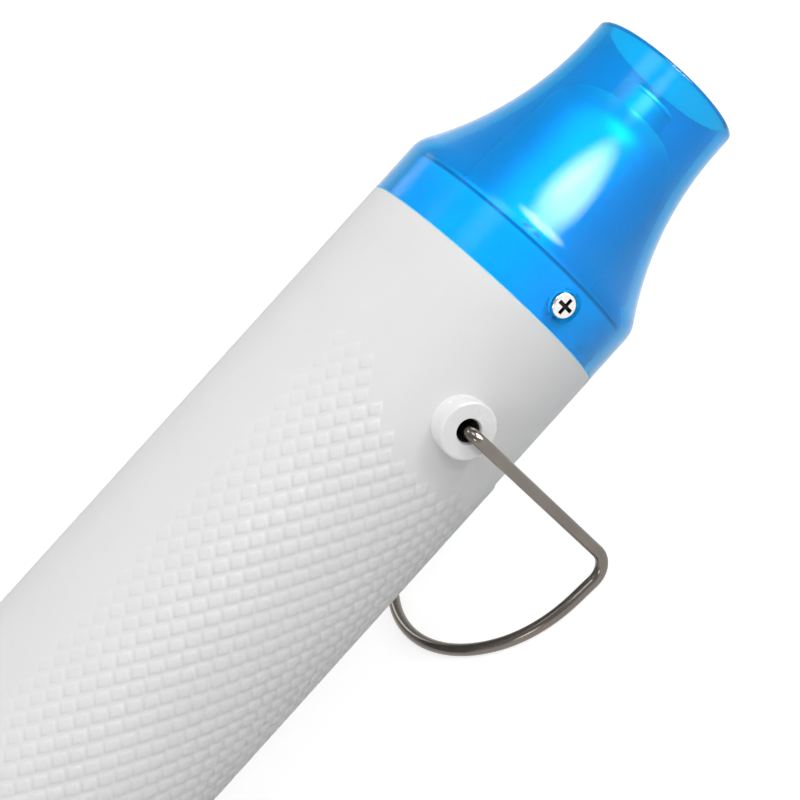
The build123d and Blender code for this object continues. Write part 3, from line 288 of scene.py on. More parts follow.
def grip_sheet(front, rear):
    """The barrel's skin laid out flat, with its pads: X round it, Z along it, -Y outwards."""
    rows = round((front - rear) / GRIP_PITCH)
    width = 2 * math.pi * BARREL_RADIUS
    half = Vector((width / GRIP_COLUMNS / 2, 0, (front - rear) / rows / 2))
    nothing_selected()
    bpy.ops.mesh.primitive_grid_add(
        x_subdivisions=GRIP_COLUMNS,
        y_subdivisions=rows,
        size=1,
        location=(0, 0, (front + rear) / 2),
        rotation=(math.radians(90), 0, 0),
    )
    sheet = bpy.context.active_object
    sheet.name = "barrel_moulding"
    sheet.scale = (width, front - rear, 1)
    settle(sheet)

    # Poking the squares and taking their own edges away leaves diamonds.
    bpy.ops.object.mode_set(mode="EDIT")
    bpy.ops.mesh.select_all(action="SELECT")
    bpy.ops.mesh.poke()

    def square_edge(edge):
        a, b = (v.co for v in edge.verts)
        return not edge.is_boundary and (abs(a.x - b.x) < half.x / 4 or abs(a.z - b.z) < half.x / 4)

    pick(sheet, square_edge, "EDGE")
    bpy.ops.mesh.dissolve_edges(use_verts=False)

    def from_top(x):
        return 180 - math.degrees(abs(x) / BARREL_RADIUS)

    # The grip's front edge is cut into the diamonds.
    for side in (-1, 1):
        for (angle, reach_a), (next_angle, reach_b) in zip(GRIP_FRONT, GRIP_FRONT[1:]):
            a = Vector((side * math.radians(180 - angle) * BARREL_RADIUS, 0, reach_a))
            b = Vector((side * math.radians(180 - next_angle) * BARREL_RADIUS, 0, reach_b))
            low, high = sorted((a.x, b.x))

            def beside(face):
                centre = face.calc_center_median()
                return low <= centre.x < high and abs(centre.z - reach_a) < 3 * GRIP_PITCH

            pick(sheet, beside)
            bpy.ops.mesh.bisect(plane_co=a, plane_no=(b - a).cross((0, 1, 0)))

    def in_grip(face):
        centre = face.calc_center_median()
        angle = from_top(centre.x)
        behind = rear + GRIP_REAR_MARGIN < centre.z < grip_front(angle)
        return angle >= GRIP_FADE[0] and behind and room_in(face) > PAD_LEAST

    pick(sheet, in_grip)
    bpy.ops.mesh.inset(thickness=PAD_GAP, use_individual=True)
    mesh = bmesh.from_edit_mesh(sheet.data)
    steps = mesh.faces.layers.int.new("pad_step")
    for face in mesh.faces:
        if face.select:
            angle = from_top(face.calc_center_median().x)
            face[steps] = sum(angle >= edge for edge in GRIP_FADE)

    # The pads are drawn in along the tool and let out round it, which makes them square.
    def corner(vert, way):
        """Whether a vertex is the corner that its pad has in this direction."""
        across, along = vert.co.x / half.x, (vert.co.z - rear) / half.z
        across, along = across - way[0] * CORNER_SHARE, along - way[1] * CORNER_SHARE
        u, v = round(across), round(along)
        off = abs(across - u) + abs(along - v)
        return (u + v + GRIP_COLUMNS) % 2 == 1 and off < CORNER_SLACK

    for way in ((0, 1), (0, -1), (1, 0), (-1, 0)):
        pick(sheet, lambda vert: corner(vert, way), "VERT")
        bpy.ops.transform.translate(value=(way[0] * PAD_WIDER, 0, -way[1] * PAD_CLOSER))

    # Each pad rises over a short slope and is a little higher in its middle.
    for step in range(1, len(GRIP_FADE) + 1):
        layer = bmesh.from_edit_mesh(sheet.data).faces.layers.int["pad_step"]
        pick(sheet, lambda face: face[layer] == step)
        share = step / len(GRIP_FADE)
        for inset, rise in ((PAD_SLOPE, PAD_HEIGHT), (PAD_EDGE, PAD_CROWN)):
            bpy.ops.mesh.inset(thickness=inset, use_individual=True)
            bpy.ops.transform.translate(value=(0, -rise * share, 0))
    bpy.ops.object.mode_set(mode="OBJECT")
    return sheet


def barrel_skin():
    """The grip sheet rolled into a closed tube with chamfered rims."""
    front, rear = FRONT - RIM_CHAMFER, REAR + RIM_CHAMFER
    skin = grip_sheet(front, rear)
    apply_modifier(skin, "SIMPLE_DEFORM", deform_method="BEND", deform_axis="Z", angle=2 * math.pi)
    bpy.ops.object.mode_set(mode="EDIT")
    bpy.ops.mesh.select_all(action="SELECT")
    bpy.ops.mesh.remove_doubles(threshold=SKIN_MERGE)
    for end, step in ((front, RIM_CHAMFER), (rear, -RIM_CHAMFER)):
        middle = (0, BARREL_RADIUS, end)

        def at_end(edge):
            return edge.is_boundary and abs(edge.verts[0].co.z - end) < RIM_CHAMFER / 2

        pick(skin, at_end, "EDGE")
        for radius, along in ((BARREL_RADIUS - RIM_CHAMFER, step), (SKIN_INNER_RADIUS, 0)):
            before = BARREL_RADIUS if along else BARREL_RADIUS - RIM_CHAMFER
            share = radius / before
            bpy.ops.mesh.extrude_edges_move(TRANSFORM_OT_translate={"value": (0, 0, along)})
            bpy.ops.transform.resize(value=(share, share, 1), center_override=middle)
    bpy.ops.mesh.select_mode(type="EDGE")
    pick(skin, lambda edge: edge.is_boundary, "EDGE")
    bpy.ops.mesh.bridge_edge_loops()
    bpy.ops.mesh.select_all(action="SELECT")
    bpy.ops.mesh.normals_make_consistent(inside=False)
    bpy.ops.object.mode_set(mode="OBJECT")
    # From the flat sheet's axes to the tool's: Z runs forwards, X to the left, Y up.
    axes = Matrix(((0, 0, 1, 0), (1, 0, 0, 0), (0, 1, 0, -BARREL_RADIUS), (0, 0, 0, 1)))
    return settle(skin, axes)


def barrel_core():
    """The barrel's inside: its ledges, posts, collar and bosses, without its skin."""
    take(frame["nodes"]["barrel"])
    bpy.ops.object.duplicate()
    core = bpy.context.active_object
    core.parent = None
    core.matrix_world = Matrix.Identity(4)
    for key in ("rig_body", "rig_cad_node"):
        del core[key]
    core.name = "barrel_core"
    bpy.ops.mesh.customdata_custom_splitnormals_clear()
    bpy.ops.object.mode_set(mode="EDIT")
    bpy.ops.mesh.select_all(action="SELECT")
    bpy.ops.mesh.remove_doubles(threshold=CORE_MERGE)
    bpy.ops.object.mode_set(mode="OBJECT")
    settle(core, TO_TOOL)
    trim = rod("core_trim", CORE_RADIUS, REAR - TRIM_PAST_REAR, FRONT + TRIM_PAST_FRONT)
    return cut(core, trim, "INTERSECT")


def make_barrel():
    """The barrel with its diamond grip, in place of the plain one."""
    skin = barrel_skin()
    switch = frame["nodes"]["switch_housing"]
    placed = [TO_TOOL @ v.co for v in switch.data.vertices]
    bezel = [p for p in placed if p.z > BARREL_RADIUS - BEZEL_PARTS_ABOVE]
    body = [p for p in placed if p.z < BARREL_RADIUS - BODY_PARTS_BELOW]
    for name, points, gap, bottom, top in (
        ("bezel_recess", bezel, SWITCH_GAP, BARREL_RADIUS - BEZEL_DEPTH, BARREL_RADIUS + CUT_PAST),
        ("switch_hole", body, SWITCH_GAP / 2, SWITCH_HOLE_BOTTOM, BARREL_RADIUS),
    ):
        low = (min(p.x for p in points) - gap, min(p.y for p in points) - gap, bottom)
        high = (max(p.x for p in points) + gap, max(p.y for p in points) + gap, top)
        cut(skin, block(name, low, high))
    holes = rod("bush_holes", BUSH_HOLE_RADIUS, -BUSH_HOLES_REACH, BUSH_HOLES_REACH, (90, 0, 0), 48)
    cut(skin, holes)
    cut(skin, barrel_core(), "UNION")
    settle(skin, TO_ROW)
    take(skin)
    bpy.ops.object.shade_smooth_by_angle(angle=math.radians(SMOOTH_UNDER))
    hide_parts("barrel")
    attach(skin, "tool")
    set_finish(skin, "white_housing")
    return skin


def new_group(name, inputs, outputs):
    """An empty node group with named inputs and outputs."""
    group = bpy.data.node_groups.new(name, "ShaderNodeTree")
    for label, kind, value in inputs:
        socket = group.interface.new_socket(label, in_out="INPUT", socket_type=kind)
        if value is not None:
            socket.default_value = value
    for label, kind in outputs:
        group.interface.new_socket(label, in_out="OUTPUT", socket_type=kind)
    return group, group.nodes.new("NodeGroupInput"), group.nodes.new("NodeGroupOutput")


def mottle_group():
    """A slow drift between two near colours, with a mask that roughness can follow."""
    group, start, end = new_group(
        "Slow drift",
        [
            ("Colour", "NodeSocketColor", None),
            ("Second colour", "NodeSocketColor", None),
            ("Scale", "NodeSocketFloat", 60.0),
        ],
        [("Colour", "NodeSocketColor"), ("Mask", "NodeSocketFloat")],
    )
    nodes, links = group.nodes, group.links
    place = nodes.new("ShaderNodeTexCoord")
    noise = nodes.new("ShaderNodeTexNoise")
    noise.inputs["Detail"].default_value = 4.0
    noise.inputs["Roughness"].default_value = 0.55
    spread = nodes.new("ShaderNodeMapRange")
    spread.inputs["From Min"].default_value = 0.32
    spread.inputs["From Max"].default_value = 0.68
    mix = nodes.new("ShaderNodeMix")
    mix.data_type = "RGBA"
    links.new(place.outputs["Object"], noise.inputs["Vector"])
    links.new(start.outputs["Scale"], noise.inputs["Scale"])
    links.new(noise.outputs["Fac"], spread.inputs["Value"])
    links.new(spread.outputs["Result"], mix.inputs["Factor"])
    links.new(start.outputs["Colour"], mix.inputs["A"])
    links.new(start.outputs["Second colour"], mix.inputs["B"])
    links.new(mix.outputs["Result"], end.inputs["Colour"])
    links.new(spread.outputs["Result"], end.inputs["Mask"])
    return group


def grain_group():
    """The fine spark-eroded grain of a moulding, as a height."""
    group, start, end = new_group(
        "Moulded grain",
        [("Scale", "NodeSocketFloat", 3000.0), ("Waviness", "NodeSocketFloat", 0.3)],
        [("Height", "NodeSocketFloat")],
    )
    nodes, links = group.nodes, group.links
    place = nodes.new("ShaderNodeTexCoord")
    fine = nodes.new("ShaderNodeTexNoise")
    fine.inputs["Detail"].default_value = 2.0
    broad = nodes.new("ShaderNodeTexNoise")
    broad.inputs["Scale"].default_value = 90.0
    broad.inputs["Detail"].default_value = 1.0
    mix = nodes.new("ShaderNodeMix")
    links.new(place.outputs["Object"], fine.inputs["Vector"])
    links.new(place.outputs["Object"], broad.inputs["Vector"])
    links.new(start.outputs["Scale"], fine.inputs["Scale"])
    links.new(start.outputs["Waviness"], mix.inputs["Factor"])
    links.new(fine.outputs["Fac"], mix.inputs["A"])
    links.new(broad.outputs["Fac"], mix.inputs["B"])
    links.new(mix.outputs["Result"], end.inputs["Height"])
    return group


def scuff_group():
    """Thin stray scratches from handling, as a mask."""
    group, start, end = new_group(
        "Handling scuffs",
        [("Scale", "NodeSocketFloat", 40.0), ("Amount", "NodeSocketFloat", 0.5)],
        [("Mask", "NodeSocketFloat")],
    )
    nodes, links = group.nodes, group.links
    place = nodes.new("ShaderNodeTexCoord")
    stretch = nodes.new("ShaderNodeMapping")
    stretch.inputs["Rotation"].default_value = (0.4, 0.7, 0.9)
    stretch.inputs["Scale"].default_value = (1.0, 9.0, 26.0)
    lines = nodes.new("ShaderNodeTexNoise")
    lines.inputs["Detail"].default_value = 3.0
    patches = nodes.new("ShaderNodeTexNoise")
    patches.inputs["Scale"].default_value = 55.0
    narrow = nodes.new("ShaderNodeMapRange")
    narrow.inputs["From Min"].default_value = 0.62
    narrow.inputs["From Max"].default_value = 0.70
    where = nodes.new("ShaderNodeMapRange")
    where.inputs["From Min"].default_value = 0.45
    where.inputs["From Max"].default_value = 0.65
    both = nodes.new("ShaderNodeMath")
    both.operation = "MULTIPLY"
    amount = nodes.new("ShaderNodeMath")
    amount.operation = "MULTIPLY"
    links.new(place.outputs["Object"], stretch.inputs["Vector"])
    links.new(stretch.outputs["Vector"], lines.inputs["Vector"])
    links.new(place.outputs["Object"], patches.inputs["Vector"])
    links.new(start.outputs["Scale"], lines.inputs["Scale"])
    links.new(lines.outputs["Fac"], narrow.inputs["Value"])
    links.new(patches.outputs["Fac"], where.inputs["Value"])
    links.new(narrow.outputs["Result"], both.inputs[0])
    links.new(where.outputs["Result"], both.inputs[1])
    links.new(both.outputs[0], amount.inputs[0])
    links.new(start.outputs["Amount"], amount.inputs[1])
    links.new(amount.outputs[0], end.inputs["Mask"])
    return group


def hollow_shade_group():
    """Paints shade into the bottom of a hole or recess whose axis runs across the tool."""
    group, start, end = new_group(
        "Dark hollow",
        [
            ("Colour", "NodeSocketColor", None),
            ("Hollow colour", "NodeSocketColor", None),
            ("Centre", "NodeSocketVector", None),
            ("Radius", "NodeSocketFloat", 0.002),
            ("Bottom", "NodeSocketFloat", 0.02),
            ("Top", "NodeSocketFloat", 0.021),
        ],
        [("Colour", "NodeSocketColor"), ("Mask", "NodeSocketFloat")],
    )
    nodes, links = group.nodes, group.links
    place = nodes.new("ShaderNodeTexCoord")
    away = nodes.new("ShaderNodeVectorMath")
    away.operation = "SUBTRACT"
    flat = nodes.new("ShaderNodeVectorMath")
    flat.operation = "MULTIPLY"
    flat.inputs[1].default_value = (1.0, 0.0, 1.0)
    distance = nodes.new("ShaderNodeVectorMath")
    distance.operation = "LENGTH"
    inner = nodes.new("ShaderNodeMath")
    inner.operation = "MULTIPLY"
    inner.inputs[1].default_value = HOLLOW_CORE_SHARE
    beside = nodes.new("ShaderNodeMapRange")
    beside.interpolation_type = "SMOOTHSTEP"
    across = nodes.new("ShaderNodeSeparateXYZ")
    outwards = nodes.new("ShaderNodeMath")
    outwards.operation = "ABSOLUTE"
    above = nodes.new("ShaderNodeMapRange")
    above.interpolation_type = "SMOOTHSTEP"
    clear = nodes.new("ShaderNodeMath")
    clear.operation = "MAXIMUM"
    mix = nodes.new("ShaderNodeMix")
    mix.data_type = "RGBA"
    links.new(place.outputs["Object"], away.inputs[0])
    links.new(start.outputs["Centre"], away.inputs[1])
    links.new(away.outputs["Vector"], flat.inputs[0])
    links.new(flat.outputs["Vector"], distance.inputs[0])
    links.new(distance.outputs["Value"], beside.inputs["Value"])
    links.new(start.outputs["Radius"], inner.inputs[0])
    links.new(inner.outputs[0], beside.inputs["From Min"])
    links.new(start.outputs["Radius"], beside.inputs["From Max"])
    links.new(place.outputs["Object"], across.inputs["Vector"])
    links.new(across.outputs["Y"], outwards.inputs[0])
    links.new(outwards.outputs[0], above.inputs["Value"])
    links.new(start.outputs["Bottom"], above.inputs["From Min"])
    links.new(start.outputs["Top"], above.inputs["From Max"])
    links.new(beside.outputs["Result"], clear.inputs[0])
    links.new(above.outputs["Result"], clear.inputs[1])
    links.new(clear.outputs[0], mix.inputs["Factor"])
    links.new(start.outputs["Hollow colour"], mix.inputs["A"])
    links.new(start.outputs["Colour"], mix.inputs["B"])
    links.new(mix.outputs["Result"], end.inputs["Colour"])
    links.new(clear.outputs[0], end.inputs["Mask"])
    return group


DRIFT = mottle_group()
GRAIN = grain_group()
SCUFFS = scuff_group()
HOLLOW_SHADE = hollow_shade_group()


def use_group(tree, group, **values):
    """Places a node group in a material with its own values."""
    node = tree.nodes.new("ShaderNodeGroup")
    node.node_tree = group
    for label, value in values.items():
        node.inputs[label.replace("_", " ")].default_value = value
    return node


def rgba(colour):
    """A colour with full alpha."""
    return (*colour, 1.0)


def finish(
    name,
    colour,
    second,
    roughness,
    metallic=0.0,
    grain=3000.0,
    grain_depth=0.000012,
    scuffs=0.25,
    coat=0.0,
):
    """A finish: drifting colour, roughness that follows it with scuffs, and a grain."""
    material = bpy.data.materials.new(name)
    material.use_nodes = True
    tree = material.node_tree
    shader = tree.nodes["Principled BSDF"]
    shader.inputs["Metallic"].default_value = metallic
    shader.inputs["Coat Weight"].default_value = coat
    shader.inputs["Coat Roughness"].default_value = COAT_ROUGHNESS
    slow = use_group(tree, DRIFT, Colour=rgba(colour), Second_colour=rgba(second))
    marks = use_group(tree, SCUFFS, Amount=scuffs)
    tree.links.new(slow.outputs["Colour"], shader.inputs["Base Color"])
    rough = tree.nodes.new("ShaderNodeMapRange")
    rough.inputs["To Min"].default_value = roughness[0]
    rough.inputs["To Max"].default_value = roughness[1]
    total = tree.nodes.new("ShaderNodeMath")
    total.operation = "MULTIPLY_ADD"
    total.inputs[1].default_value = SCUFF_ROUGHNESS
    bump = tree.nodes.new("ShaderNodeBump")
    bump.inputs["Distance"].default_value = grain_depth
    relief = use_group(tree, GRAIN, Scale=grain)
    tree.links.new(slow.outputs["Mask"], rough.inputs["Value"])
    tree.links.new(marks.outputs["Mask"], total.inputs[0])
    tree.links.new(rough.outputs["Result"], total.inputs[2])
    tree.links.new(total.outputs[0], shader.inputs["Roughness"])
    tree.links.new(relief.outputs["Height"], bump.inputs["Height"])
    tree.links.new(bump.outputs["Normal"], shader.inputs["Normal"])
    return material


def paint_hollow_shade(material, centre, radius, bottom, top):
    """Adds painted shade in the bottom of the holes or recesses round one axis to a finish."""
    tree = material.node_tree
    colour = tree.nodes["Principled BSDF"].inputs["Base Color"]
    before = colour.links[0].from_socket
    # Painted shade: the bottom of the hole or recess turns dark.
    hollow = use_group(
        tree,
        HOLLOW_SHADE,
        Hollow_colour=rgba(HOLLOW_SHADE_COLOUR),
        Centre=centre,
        Radius=radius,
        Bottom=bottom,
        Top=top,
    )
    tree.links.new(before, hollow.inputs["Colour"])
    tree.links.new(hollow.outputs["Colour"], colour)
    return material


def guard_finish():
    """Tinted clear plastic. It lets tinted light through to what is inside it."""
    material = finish(
        "clear_blue_plastic",
        (0.004, 0.345, 0.655),
        (0.006, 0.375, 0.675),
        (0.06, 0.09),
        grain=500.0,
        grain_depth=0.000004,
        scuffs=0.1,
    )
    tree = material.node_tree
    shader = tree.nodes["Principled BSDF"]
    shader.inputs["Transmission Weight"].default_value = 0.78
    shader.inputs["Specular IOR Level"].default_value = 0.25
    shader.inputs["IOR"].default_value = 1.26
    passing = tree.nodes.new("ShaderNodeBsdfTransparent")
    passing.inputs["Color"].default_value = rgba((0.16, 0.95, 0.96))
    rays = tree.nodes.new("ShaderNodeLightPath")
    mix = tree.nodes.new("ShaderNodeMixShader")
    output = tree.nodes["Material Output"]
    tree.links.new(rays.outputs["Is Shadow Ray"], mix.inputs["Fac"])
    tree.links.new(shader.outputs["BSDF"], mix.inputs[1])
    tree.links.new(passing.outputs["BSDF"], mix.inputs[2])
    tree.links.new(mix.outputs["Shader"], output.inputs["Surface"])
    return material


def housing_finish():
    """The satin plastic of the barrel and its cap, with painted shade at the collar's front edge.
    """
    material = finish(
        "satin_white_plastic",
        (0.79, 0.79, 0.79),
        (0.77, 0.77, 0.77),
        (0.56, 0.64),
        grain_depth=0.00001,
    )
    tree = material.node_tree
    colour = tree.nodes["Principled BSDF"].inputs["Base Color"]
    before = colour.links[0].from_socket
    # Painted shade: the housing turns dark from just behind the collar's front edge forwards.
    place = tree.nodes.new("ShaderNodeTexCoord")
    along = tree.nodes.new("ShaderNodeVectorMath")
    along.operation = "DOT_PRODUCT"
    along.inputs[1].default_value = AXIS
    collar_end = reach("barrel")[1] + PIVOT.dot(AXIS)
    seam_shade = tree.nodes.new("ShaderNodeMapRange")
    seam_shade.interpolation_type = "SMOOTHSTEP"
    seam_shade.inputs["From Min"].default_value = collar_end - SEAM_SHADE_WIDTH
    seam_shade.inputs["From Max"].default_value = collar_end - SEAM_SHADE_WIDTH / 2
    mix = tree.nodes.new("ShaderNodeMix")
    mix.data_type = "RGBA"
    mix.inputs["B"].default_value = rgba(SEAM_SHADE_COLOUR)
    tree.links.new(place.outputs["Object"], along.inputs[0])
    tree.links.new(along.outputs["Value"], seam_shade.inputs["Value"])
    tree.links.new(seam_shade.outputs["Result"], mix.inputs["Factor"])
    tree.links.new(before, mix.inputs["A"])
    tree.links.new(mix.outputs["Result"], colour)
    return material


def bush_finish():
    """The bushes' gloss plastic, with painted shade in the dish that the wire goes into."""
    material = finish("gloss_white_plastic", (0.90, 0.90, 0.90), (0.86, 0.86, 0.865), (0.22, 0.3))
    face = -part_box("bail_bush_right")[0][1]
    # Painted shade in the dish round the wire.
    return paint_hollow_shade(material, PIVOT, BUSH_SHADE_RADIUS, face - BUSH_SHADE_DEPTH, face)


def screw_finish():
    """Nickel plate, with painted shade in the recesses of the two screws that show."""
    material = finish(
        "nickel_plate",
        (0.80, 0.79, 0.77),
        (0.70, 0.69, 0.67),
        (0.18, 0.28),
        metallic=1.0,
        grain=2500.0,
    )
    low, high = (Vector(corner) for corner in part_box("guard_screws"))
    top = high.y - RECESS_EDGE_DEPTH
    return paint_hollow_shade(material, (low + high) / 2, RECESS_RADIUS, top - RECESS_SHADE_DEPTH, top)


# For each slot: its finish, the two colours that it drifts between and its range of roughness
PLASTICS = {
    "grey_rubber": ("grey_rubber", (0.11, 0.11, 0.115), (0.085, 0.085, 0.09), (0.6, 0.75)),
    "black_switch": (
        "black_satin_plastic",
        (0.018, 0.018, 0.019),
        (0.026, 0.026, 0.027),
        (0.34, 0.45),
    ),
    "black_rocker": (
        "black_gloss_plastic",
        (0.016, 0.016, 0.017),
        (0.024, 0.024, 0.025),
        (0.2, 0.3),
    ),
    "inner_plastic": ("black_nylon", (0.025, 0.025, 0.026), (0.04, 0.04, 0.042), (0.45, 0.6)),
    "magnet_ferrite": ("ferrite", (0.045, 0.045, 0.05), (0.07, 0.07, 0.075), (0.55, 0.7)),
    "carbon": ("carbon", (0.03, 0.03, 0.03), (0.05, 0.05, 0.05), (0.6, 0.75)),
    "board_laminate": ("paper_laminate", (0.42, 0.26, 0.1), (0.34, 0.2, 0.08), (0.5, 0.65)),
    "diode_body": ("epoxy_black", (0.02, 0.02, 0.02), (0.03, 0.03, 0.03), (0.3, 0.45)),
    "heater_ceramic": ("cordierite", (0.72, 0.66, 0.55), (0.62, 0.56, 0.46), (0.7, 0.85)),
    "lead_insulation": (
        "glass_fibre_sleeving",
        (0.68, 0.66, 0.6),
        (0.58, 0.56, 0.5),
        (0.7, 0.85),
    ),
}
METALS = {
    "motor_steel": ("zinc_plated_steel", (0.58, 0.58, 0.57), (0.47, 0.48, 0.5), (0.25, 0.4)),
    "sintered_bronze": ("sintered_bronze", (0.5, 0.33, 0.16), (0.4, 0.27, 0.14), (0.45, 0.6)),
    "copper": ("enamelled_copper", (0.62, 0.23, 0.09), (0.5, 0.17, 0.07), (0.25, 0.4)),
    "brass_contacts": ("brass", (0.72, 0.52, 0.2), (0.6, 0.42, 0.17), (0.25, 0.4)),
    "resistance_wire": ("oxidised_alloy", (0.22, 0.2, 0.19), (0.14, 0.12, 0.12), (0.35, 0.55)),
    "cutoff_case": ("plain_aluminium", (0.8, 0.8, 0.8), (0.7, 0.7, 0.71), (0.25, 0.4)),
}


def make_finishes():
    """The finish of every material slot in the record."""
    finishes = {
        "white_housing": housing_finish(),
        "white_bush": bush_finish(),
        "blue_guard": guard_finish(),
        "stand_wire": finish(
            "drawn_steel_wire",
            (0.215, 0.19, 0.168),
            (0.165, 0.147, 0.13),
            (0.10, 0.19),
            metallic=1.0,
            grain=1800.0,
        ),
        "nickel_screws": screw_finish(),
        "nozzle_steel": finish(
            "pressed_steel",
            (0.90, 0.90, 0.90),
            (0.84, 0.84, 0.85),
            (0.40, 0.48),
            metallic=1.0,
            grain=900.0,
            grain_depth=0.000002,
        ),
        "mica": finish("mica_sheet", (0.42, 0.32, 0.18), (0.55, 0.45, 0.28), (0.2, 0.45), coat=0.6),
    }
    for slot, row in PLASTICS.items():
        finishes[slot] = finish(*row)
    for slot, row in METALS.items():
        finishes[slot] = finish(*row, metallic=1.0)
    return finishes


def dress(finishes, made):
    """Gives every node and every new piece the finish of its slot."""
    slots = {row["node"]: row["material_slot"] for row in frame["record"]["subparts"]}
    for node, piece in frame["nodes"].items():
        for slot in piece.material_slots:
            slot.material = finishes[slots[node]]
    for piece in made:
        piece.data.materials.clear()
        piece.data.materials.append(finishes[piece["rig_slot"]])


def sees_backdrop(tree, kinds):
    """1 for these kinds of ray and 0 for the rest."""
    rays = tree.nodes.new("ShaderNodeLightPath")
    found = rays.outputs[kinds[0]]
    for kind in kinds[1:]:
        either = tree.nodes.new("ShaderNodeMath")
        either.operation = "MAXIMUM"
        tree.links.new(found, either.inputs[0])
        tree.links.new(rays.outputs[kind], either.inputs[1])
        found = either.outputs[0]
    return found


def make_floor():
    """A plain pale floor that keeps the tool's shadow and runs into a white room."""
    nothing_selected()
    bpy.ops.mesh.primitive_plane_add(size=FLOOR_SIZE, location=(0, 0, 0))
    floor = bpy.context.active_object
    floor.name = "floor"
    material = bpy.data.materials.new("pale_floor")
    material.use_nodes = True
    tree = material.node_tree
    tree.nodes.remove(tree.nodes["Principled BSDF"])
    matt = tree.nodes.new("ShaderNodeBsdfDiffuse")
    matt.inputs["Color"].default_value = rgba(FLOOR_COLOUR)
    lift = tree.nodes.new("ShaderNodeEmission")
    lift.inputs["Color"].default_value = rgba((1.0, 1.0, 1.0))
    strength = tree.nodes.new("ShaderNodeMath")
    strength.operation = "MULTIPLY"
    strength.inputs[1].default_value = FLOOR_LIFT
    seen = sees_backdrop(tree, BACKDROP_RAYS)
    tree.links.new(seen, strength.inputs[0])
    tree.links.new(strength.outputs[0], lift.inputs["Strength"])
    both = tree.nodes.new("ShaderNodeAddShader")
    tree.links.new(matt.outputs["BSDF"], both.inputs[0])
    tree.links.new(lift.outputs["Emission"], both.inputs[1])
    tree.links.new(both.outputs["Shader"], tree.nodes["Material Output"].inputs["Surface"])
    floor.data.materials.append(material)


def bright_patch(tree, direction, centre, inner, outer, brightness, kind):
    """A patch of the room, brightest within inner degrees of its centre and gone at
    outer degrees, that only one kind of ray sees."""
    towards = tree.nodes.new("ShaderNodeVectorMath")
    towards.operation = "DOT_PRODUCT"
    towards.inputs[1].default_value = centre
    tree.links.new(direction.outputs["Generated"], towards.inputs[0])
    patch = tree.nodes.new("ShaderNodeMapRange")
    patch.interpolation_type = "SMOOTHSTEP"
    patch.inputs["From Min"].default_value = math.cos(math.radians(outer))
    patch.inputs["From Max"].default_value = math.cos(math.radians(inner))
    patch.inputs["To Max"].default_value = brightness
    tree.links.new(towards.outputs["Value"], patch.inputs["Value"])
    shown = tree.nodes.new("ShaderNodeMath")
    shown.operation = "MULTIPLY"
    tree.links.new(patch.outputs["Result"], shown.inputs[0])
    tree.links.new(sees_backdrop(tree, (kind,)), shown.inputs[1])
    return shown.outputs[0]


def make_room():
    """A white room with a dimmer ceiling and two bright patches. Its own light on the
    object is soft and grey."""
    world = bpy.data.worlds.new("room")
    bpy.context.scene.world = world
    world.use_nodes = True
    tree = world.node_tree
    background = tree.nodes["Background"]
    background.inputs["Color"].default_value = rgba((1.0, 1.0, 1.0))
    direction = tree.nodes.new("ShaderNodeTexCoord")
    height = tree.nodes.new("ShaderNodeSeparateXYZ")
    tree.links.new(direction.outputs["Generated"], height.inputs["Vector"])
    ceiling = tree.nodes.new("ShaderNodeMapRange")
    ceiling.interpolation_type = "SMOOTHSTEP"
    ceiling.inputs["From Min"].default_value = 0.05
    ceiling.inputs["From Max"].default_value = 0.45
    ceiling.inputs["To Min"].default_value = 1.0
    ceiling.inputs["To Max"].default_value = 0.5
    tree.links.new(height.outputs["Z"], ceiling.inputs["Value"])
    total = ceiling.outputs["Result"]
    for patch in (BRIGHT_WALL, STRIP_LIGHT):
        added = tree.nodes.new("ShaderNodeMath")
        tree.links.new(total, added.inputs[0])
        tree.links.new(bright_patch(tree, direction, *patch), added.inputs[1])
        total = added.outputs[0]
    white = tree.nodes.new("ShaderNodeMath")
    white.operation = "MAXIMUM"
    tree.links.new(total, white.inputs[0])
    tree.links.new(sees_backdrop(tree, ("Is Camera Ray",)), white.inputs[1])
    strength = tree.nodes.new("ShaderNodeMix")
    strength.inputs["A"].default_value = ROOM_LIGHT
    seen = sees_backdrop(tree, BACKDROP_RAYS)
    tree.links.new(seen, strength.inputs["Factor"])
    tree.links.new(white.outputs[0], strength.inputs["B"])
    tree.links.new(strength.outputs["Result"], background.inputs["Strength"])


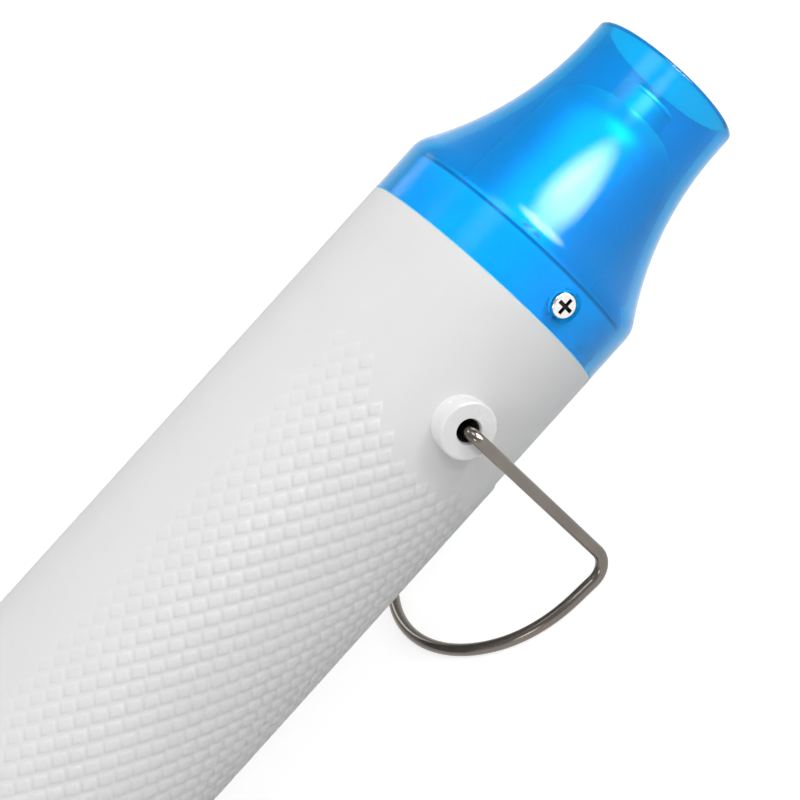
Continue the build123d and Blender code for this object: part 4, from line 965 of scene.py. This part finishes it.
def lamp(name, place, aim, size, power, height=None):
    """A softbox aimed at a point. It fades from its middle to its edges."""
    data = bpy.data.lights.new(name, "AREA")
    data.shape = "RECTANGLE"
    data.size = size
    data.size_y = height or size
    data.energy = power
    data.use_nodes = True
    tree = data.node_tree
    face = tree.nodes.new("ShaderNodeNewGeometry")
    middle = tree.nodes.new("ShaderNodeVectorMath")
    middle.operation = "DISTANCE"
    middle.inputs[1].default_value = (0.5, 0.5, 0.0)
    fade = tree.nodes.new("ShaderNodeMapRange")
    fade.interpolation_type = "SMOOTHSTEP"
    fade.inputs["From Min"].default_value = SOFTBOX_FADE[0]
    fade.inputs["From Max"].default_value = SOFTBOX_FADE[1]
    fade.inputs["To Min"].default_value = SOFTBOX_PEAK
    fade.inputs["To Max"].default_value = 0.0
    tree.links.new(face.outputs["Parametric"], middle.inputs[0])
    tree.links.new(middle.outputs["Value"], fade.inputs["Value"])
    tree.links.new(fade.outputs["Result"], tree.nodes["Emission"].inputs["Strength"])
    piece = bpy.data.objects.new(name, data)
    bpy.context.scene.collection.objects.link(piece)
    piece.location = place
    piece.rotation_euler = (Vector(aim) - Vector(place)).to_track_quat("-Z", "Y").to_euler()


def make_lamps():
    """Softboxes round the tool. Their power is in watts and their sizes are in metres."""
    lamp("overhead_softbox", (-0.10, 0.10, 0.75), TOOL_MIDDLE, 0.45, 1.2)
    lamp("back_softbox", (0.0, 0.85, 0.62), TOOL_MIDDLE, 0.50, 0.9)
    lamp("side_softbox", (0.784, -0.542, 0.44), GUARD_MIDDLE, 0.55, 2.7, height=0.22)
    lamp("front_softbox", (0.35, -0.74, 0.51), GUARD_MIDDLE, 0.40, 1.2)
    lamp("high_softbox", (0.222, -0.376, 0.743), (0.085, 0.0, 0.05), 0.50, 1.3)
    lamp("low_softbox", (-0.52, -0.58, 0.32), (0.04, 0.0, 0.0), 0.5, 0.8, height=0.2)


def make_camera():
    """The camera, at the photograph's viewing angle."""
    data = bpy.data.cameras.new("camera")
    data.sensor_width = 36.0
    data.lens = CAMERA_LENS
    data.clip_start = 0.01
    data.clip_end = 20.0
    camera = bpy.data.objects.new("camera", data)
    bpy.context.scene.collection.objects.link(camera)
    camera.location = CAMERA_PLACE
    camera.rotation_euler = [math.radians(v) for v in CAMERA_TURN]
    bpy.context.scene.camera = camera


made = [make_barrel()]
dress(make_finishes(), made)
make_floor()
make_room()
make_lamps()
make_camera()
bpy.context.scene.view_settings.view_transform = "Standard"
